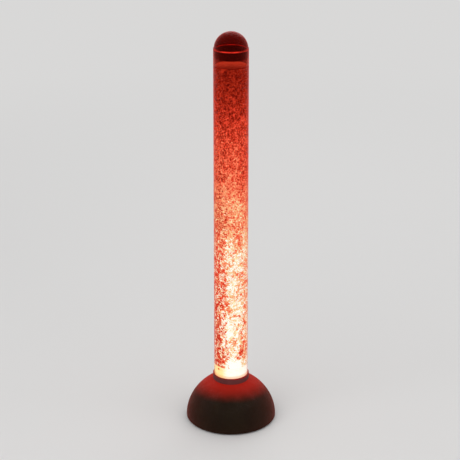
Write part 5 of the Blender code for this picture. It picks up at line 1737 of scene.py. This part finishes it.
@dataclass
class WaterTube:
    """The acrylic tube, the lit water in it and the clear plug under the water."""

    radius: float = 0.040
    bore: float = 0.037
    low: float = 0.0808
    high: float = 0.9108
    polish: float = 0.0005
    steps: int = 224
    water_radius: float = 0.03701
    water_low: float = 0.1403
    water_high: float = 0.8733
    water_round: float = 0.001
    # The water's edge creeps up the wall: its height, then each corner's way inward and share of that height
    meniscus: float = 0.0016
    curl: tuple[Station, ...] = ((0.0, 1.0), (0.0006, 0.45), (0.0016, 0.15), (0.0032, 0.0))
    surface_rings: tuple[float, ...] = (0.80, 0.68, 0.56, 0.44, 0.32, 0.20, 0.10, 0.0)
    wave_size: float = 0.014
    wave_height: float = 0.0075
    wave_skin: float = 0.0005
    calm_edge: float = 5.0
    plug_wall: float = 0.003
    plug_high: float = 0.1400
    plug_ceiling: float = 0.1340
    plug_hole: float = 0.0043
    plug_round: float = 0.0008
    swarm: BubbleSwarm = field(default_factory=BubbleSwarm)

    def build(self) -> None:
        """Build and dress the plug, the water, its bubbles and the tube."""
        self.build_plug()
        self.build_water()
        self.swarm.build()
        self.build_tube()

    def build_tube(self) -> None:
        """Model the tube with polished ends."""
        size = self.polish
        section = [
            (self.bore + size, self.low),
            (self.radius - size, self.low),
            (self.radius, self.low + size),
            *arc((self.radius - size, self.high - size), size, 0, 90, 4),
            *arc((self.bore + size, self.high - size), size, 90, 180, 4),
            (self.bore, self.low + size),
        ]
        tube = turned("acrylic_tube", section, self.steps, Shade.FLAT)
        settle(tube, Body.BASE, "acrylic", TUBE, "bubble_tube")

    def build_water(self) -> None:
        """Model the water column, its foot at the plug and a curled-up edge at its surface."""
        reach, size = self.water_radius, self.water_round
        section = [(0.0, self.water_low), (reach - size, self.water_low), (reach, self.water_low + size)]
        section += [(reach - inward, self.water_high + self.meniscus * share) for inward, share in self.curl]
        section += [(reach * share, self.water_high) for share in self.surface_rings]
        water = turned("lit_water_column", section)
        self.ripple(water)
        settle(water, Body.BASE, "water", WATER, "water_column")

    def ripple(self, water: Piece) -> None:
        """Stir the water's surface up in low waves, where the bubbles burst.

        Args:
            water: The water column.
        """
        top = water.vertex_groups.new(name="surface")
        for vertex in water.data.vertices:
            inward = max(0.0, 1.0 - math.hypot(vertex.co.x, vertex.co.y) / self.water_radius)
            if vertex.co.z > self.water_high - self.wave_skin:
                top.add([vertex.index], min(1.0, self.calm_edge * inward), "REPLACE")
        waves = bpy.data.textures.new("water waves", "CLOUDS")
        waves.noise_scale = self.wave_size
        waves.noise_depth = 1
        take(water)
        bpy.ops.object.modifier_add(type="DISPLACE")
        lift = water.modifiers[-1]
        lift.texture = waves
        lift.texture_coords = "LOCAL"
        lift.direction = "Z"
        lift.vertex_group = top.name
        lift.strength = self.wave_height
        bpy.ops.object.modifier_apply(modifier=lift.name)
        water.vertex_groups.remove(water.vertex_groups["surface"])
        bpy.data.textures.remove(waves)

    def build_plug(self) -> None:
        """Model the upturned cup that closes the tube's foot."""
        outer, inner, size = self.water_radius, self.water_radius - self.plug_wall, self.plug_round
        section = [
            (self.plug_hole, self.plug_ceiling),
            (inner - size, self.plug_ceiling),
            (inner, self.plug_ceiling - size),
            (inner, self.low),
            (outer, self.low),
            *arc((outer - size, self.plug_high - size), size, 0, 90, 4),
            (self.plug_hole, self.plug_high),
        ]
        settle(turned("lit_end_plug", section), Body.BASE, "acrylic", PLUG, "tube_end_plug")


@dataclass
class DomeCap:
    """The lift-off dome cap: a flange on the rim, a skirt in the tube and a hollow dome."""

    centre: Station = (0.0, 0.9113)
    radius: float = 0.0387
    wall: float = 0.0016
    flange_low: float = 0.9111
    flange_high: float = 0.9133
    flange_radius: float = 0.040
    flange_round: float = 0.0006
    skirt_outer: float = 0.0366
    skirt_inner: float = 0.0350
    skirt_low: float = 0.8908
    steps: int = 26

    def foot(self, radius: float) -> float:
        """Give the angle at which a shell of the dome meets the flange's top."""
        return math.degrees(math.asin((self.flange_high - self.centre[1]) / radius))

    def build(self) -> None:
        """Model and dress the cap."""
        inner, size = self.radius - self.wall, self.flange_round
        section = [
            *arc(self.centre, self.radius, 90, self.foot(self.radius), self.steps),
            *arc((self.flange_radius - size, self.flange_high - size), size, 90, 0, 4),
            (self.flange_radius, self.flange_low),
            (self.skirt_outer, self.flange_low),
            (self.skirt_outer, self.skirt_low + size),
            (self.skirt_outer - size, self.skirt_low),
            (self.skirt_inner, self.skirt_low),
            (self.skirt_inner, self.flange_high),
            *arc(self.centre, inner, self.foot(inner), 90, self.steps),
        ]
        settle(turned("dome_cap", section), Body.CAP, "cap", CAP, "tube_cap")


@dataclass
class Flexures:
    """The button's return spring and the pump's diaphragm, which give way as their joints move."""

    spring_seat: float = 0.0924
    spring_keep: float = 0.53
    diaphragm_seat: float = 0.0216
    diaphragm_keep: float = 0.87

    def build(self) -> None:
        """Put a copy of its own in the place of each of the two nodes."""
        spring = self.copied("button_spring", "return_spring")
        settle(spring, Body.BASE, "steel", STEEL, "button_spring")
        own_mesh(spring)
        diaphragm = self.copied("pump_diaphragm", "rubber_diaphragm")
        settle(diaphragm, Body.BASE, "rubber", RUBBER, "pump_diaphragm")
        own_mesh(diaphragm)

    @staticmethod
    def copied(node: str, name: str) -> Piece:
        """Copy a node's shape into a piece of its own.

        Args:
            node: The node that is copied.
            name: The new piece's name.

        Returns:
            The new piece, with its doubles merged.
        """
        piece = linked(name, frame["nodes"][node].data.copy())
        edit(piece)
        close_shape()
        return smooth(piece)


@dataclass
class CarriedNodes:
    """The nodes that keep their own shape and get a finish."""

    # What the names of each finish's nodes start with; the longest start counts
    finishes: tuple[tuple[Finish, tuple[str, ...]], ...] = (
        (BLACK_PLASTIC, ("base_plate", "switch_body")),
        (SOCKET_PLASTIC, ("dc_socket", "button_bezel")),
        (BUTTON_PLASTIC, ("push_button",)),
        (PUMP_PLASTIC, ("pump_case", "pump_lid")),
        (NYLON, ("air_inlet", "inlet_nut", "led_carrier", "pump_arm", "coil_bobbin", "bezel_nut")),
        (NYLON, ("valve_block", "check_valve")),
        (RUBBER, ("rubber_foot", "tube_gasket", "inlet_washer", "pump_grommet")),
        (CABLE, ("led_cable", "pump_cable", "dc_cable", "switch_cable")),
        (STEEL, ("base_screw", "arm_pin", "dc_socket_nut")),
        (LAMINATION, ("magnet_core",)),
        (MAGNET, ("arm_magnet",)),
        (COPPER, ("coil_winding",)),
        (STONE, ("air_diffuser",)),
        (BOARD, ("led_board", "control_board")),
        (LED, ("led_",)),
        (SILICONE, ("air_hose",)),
    )

    def dress(self, replaced: Iterable[str]) -> None:
        """Give every node that stays its finish.

        Args:
            replaced: The nodes that new pieces stand for.
        """
        starts = {start: finish for finish, names in self.finishes for start in names}
        for name, node in frame["nodes"].items():
            if name in replaced:
                continue
            finish = starts[max((start for start in starts if name.startswith(start)), key=len)]
            if not node.material_slots:
                node.data.materials.append(None)
            for slot in node.material_slots:
                slot.material = finish.material()
            LOG.info("%s: dressed in %s", name, finish.name)


@dataclass
class Studio:
    """The pale floor, the soft lamps and the camera at the photograph's angle."""

    floor_size: float = 24.0
    floor_finish: Finish = StudioFloor("studio_floor", (0.80, 0.795, 0.79), 0.9)
    room_light: float = 0.52
    # Place and power of each lamp
    lamps: tuple[tuple[str, Point, float], ...] = (
        ("key_lamp", (-1.7, -2.0, 2.6), 34.0),
        ("fill_lamp", (2.4, -1.5, 2.2), 18.0),
        ("back_lamp", (0.5, 2.4, 2.8), 30.0),
    )
    lamp_width: float = 3.0
    aim: Point = (0.0, 0.0, 0.4)
    lens: float = 112.9
    sensor: float = 36.0
    sight: float = 60.0
    camera_place: Point = (-0.00227, -3.12337, 1.68516)
    camera_tilt: float = 68.92

    def build(self) -> None:
        """Set up the floor, world, lamps and camera."""
        self.build_floor()
        self.build_world()
        self.build_lamps()
        self.build_camera()
        bpy.context.scene.view_settings.view_transform = "Standard"

    def build_floor(self) -> None:
        """Lay the plain floor."""
        clear_selection()
        bpy.ops.mesh.primitive_plane_add(size=self.floor_size)
        floor = bpy.context.object
        floor.name = "studio_floor"
        floor.data.materials.append(self.floor_finish.material())

    def build_world(self) -> None:
        """Light the room evenly, and show the plain backdrop where the camera sees past the floor."""
        world = bpy.data.worlds.new("studio")
        bpy.context.scene.world = world
        world.use_nodes = True
        world.node_tree.nodes.clear()
        desk = Wiring(world.node_tree)
        light = desk.join(desk.add("ShaderNodeBackground"), WHITE, self.room_light)
        shown = desk.join(desk.add("ShaderNodeBackground"), BACKDROP, 1.0)
        desk.join(desk.add("ShaderNodeOutputWorld"), desk.blend(desk.seen_directly(), light, shown))

    def build_lamps(self) -> None:
        """Hang the soft lamps, each aimed at the lamp's middle."""
        for name, place, power in self.lamps:
            data = bpy.data.lights.new(name, "AREA")
            data.shape = "SQUARE"
            data.size = self.lamp_width
            data.energy = power
            lamp = linked(name, data)
            lamp.location = place
            lamp.rotation_euler = (Vector(self.aim) - Vector(place)).to_track_quat("-Z", "Y").to_euler()

    def build_camera(self) -> None:
        """Place the camera where the photograph was taken from."""
        data = bpy.data.cameras.new("camera")
        data.sensor_width = self.sensor
        data.lens = self.lens
        data.clip_end = self.sight
        camera = linked("camera", data)
        camera.location = self.camera_place
        camera.rotation_euler = (math.radians(self.camera_tilt), 0.0, 0.0)
        bpy.context.scene.camera = camera


REPLACED = (
    "base_housing",
    "tube_collar",
    "collar_seal",
    "bubble_tube",
    "water_column",
    "tube_end_plug",
    "tube_cap",
    "button_spring",
    "pump_diaphragm",
)


def main() -> None:
    """Build the lamp from its foot to its cap, then the studio."""
    logging.basicConfig(level=logging.INFO, format="%(name)s: %(message)s")
    DomeBase().build()
    WaterTube().build()
    DomeCap().build()
    Flexures().build()
    CarriedNodes().dress(REPLACED)
    Studio().build()


if __name__ == "__main__":
    main()
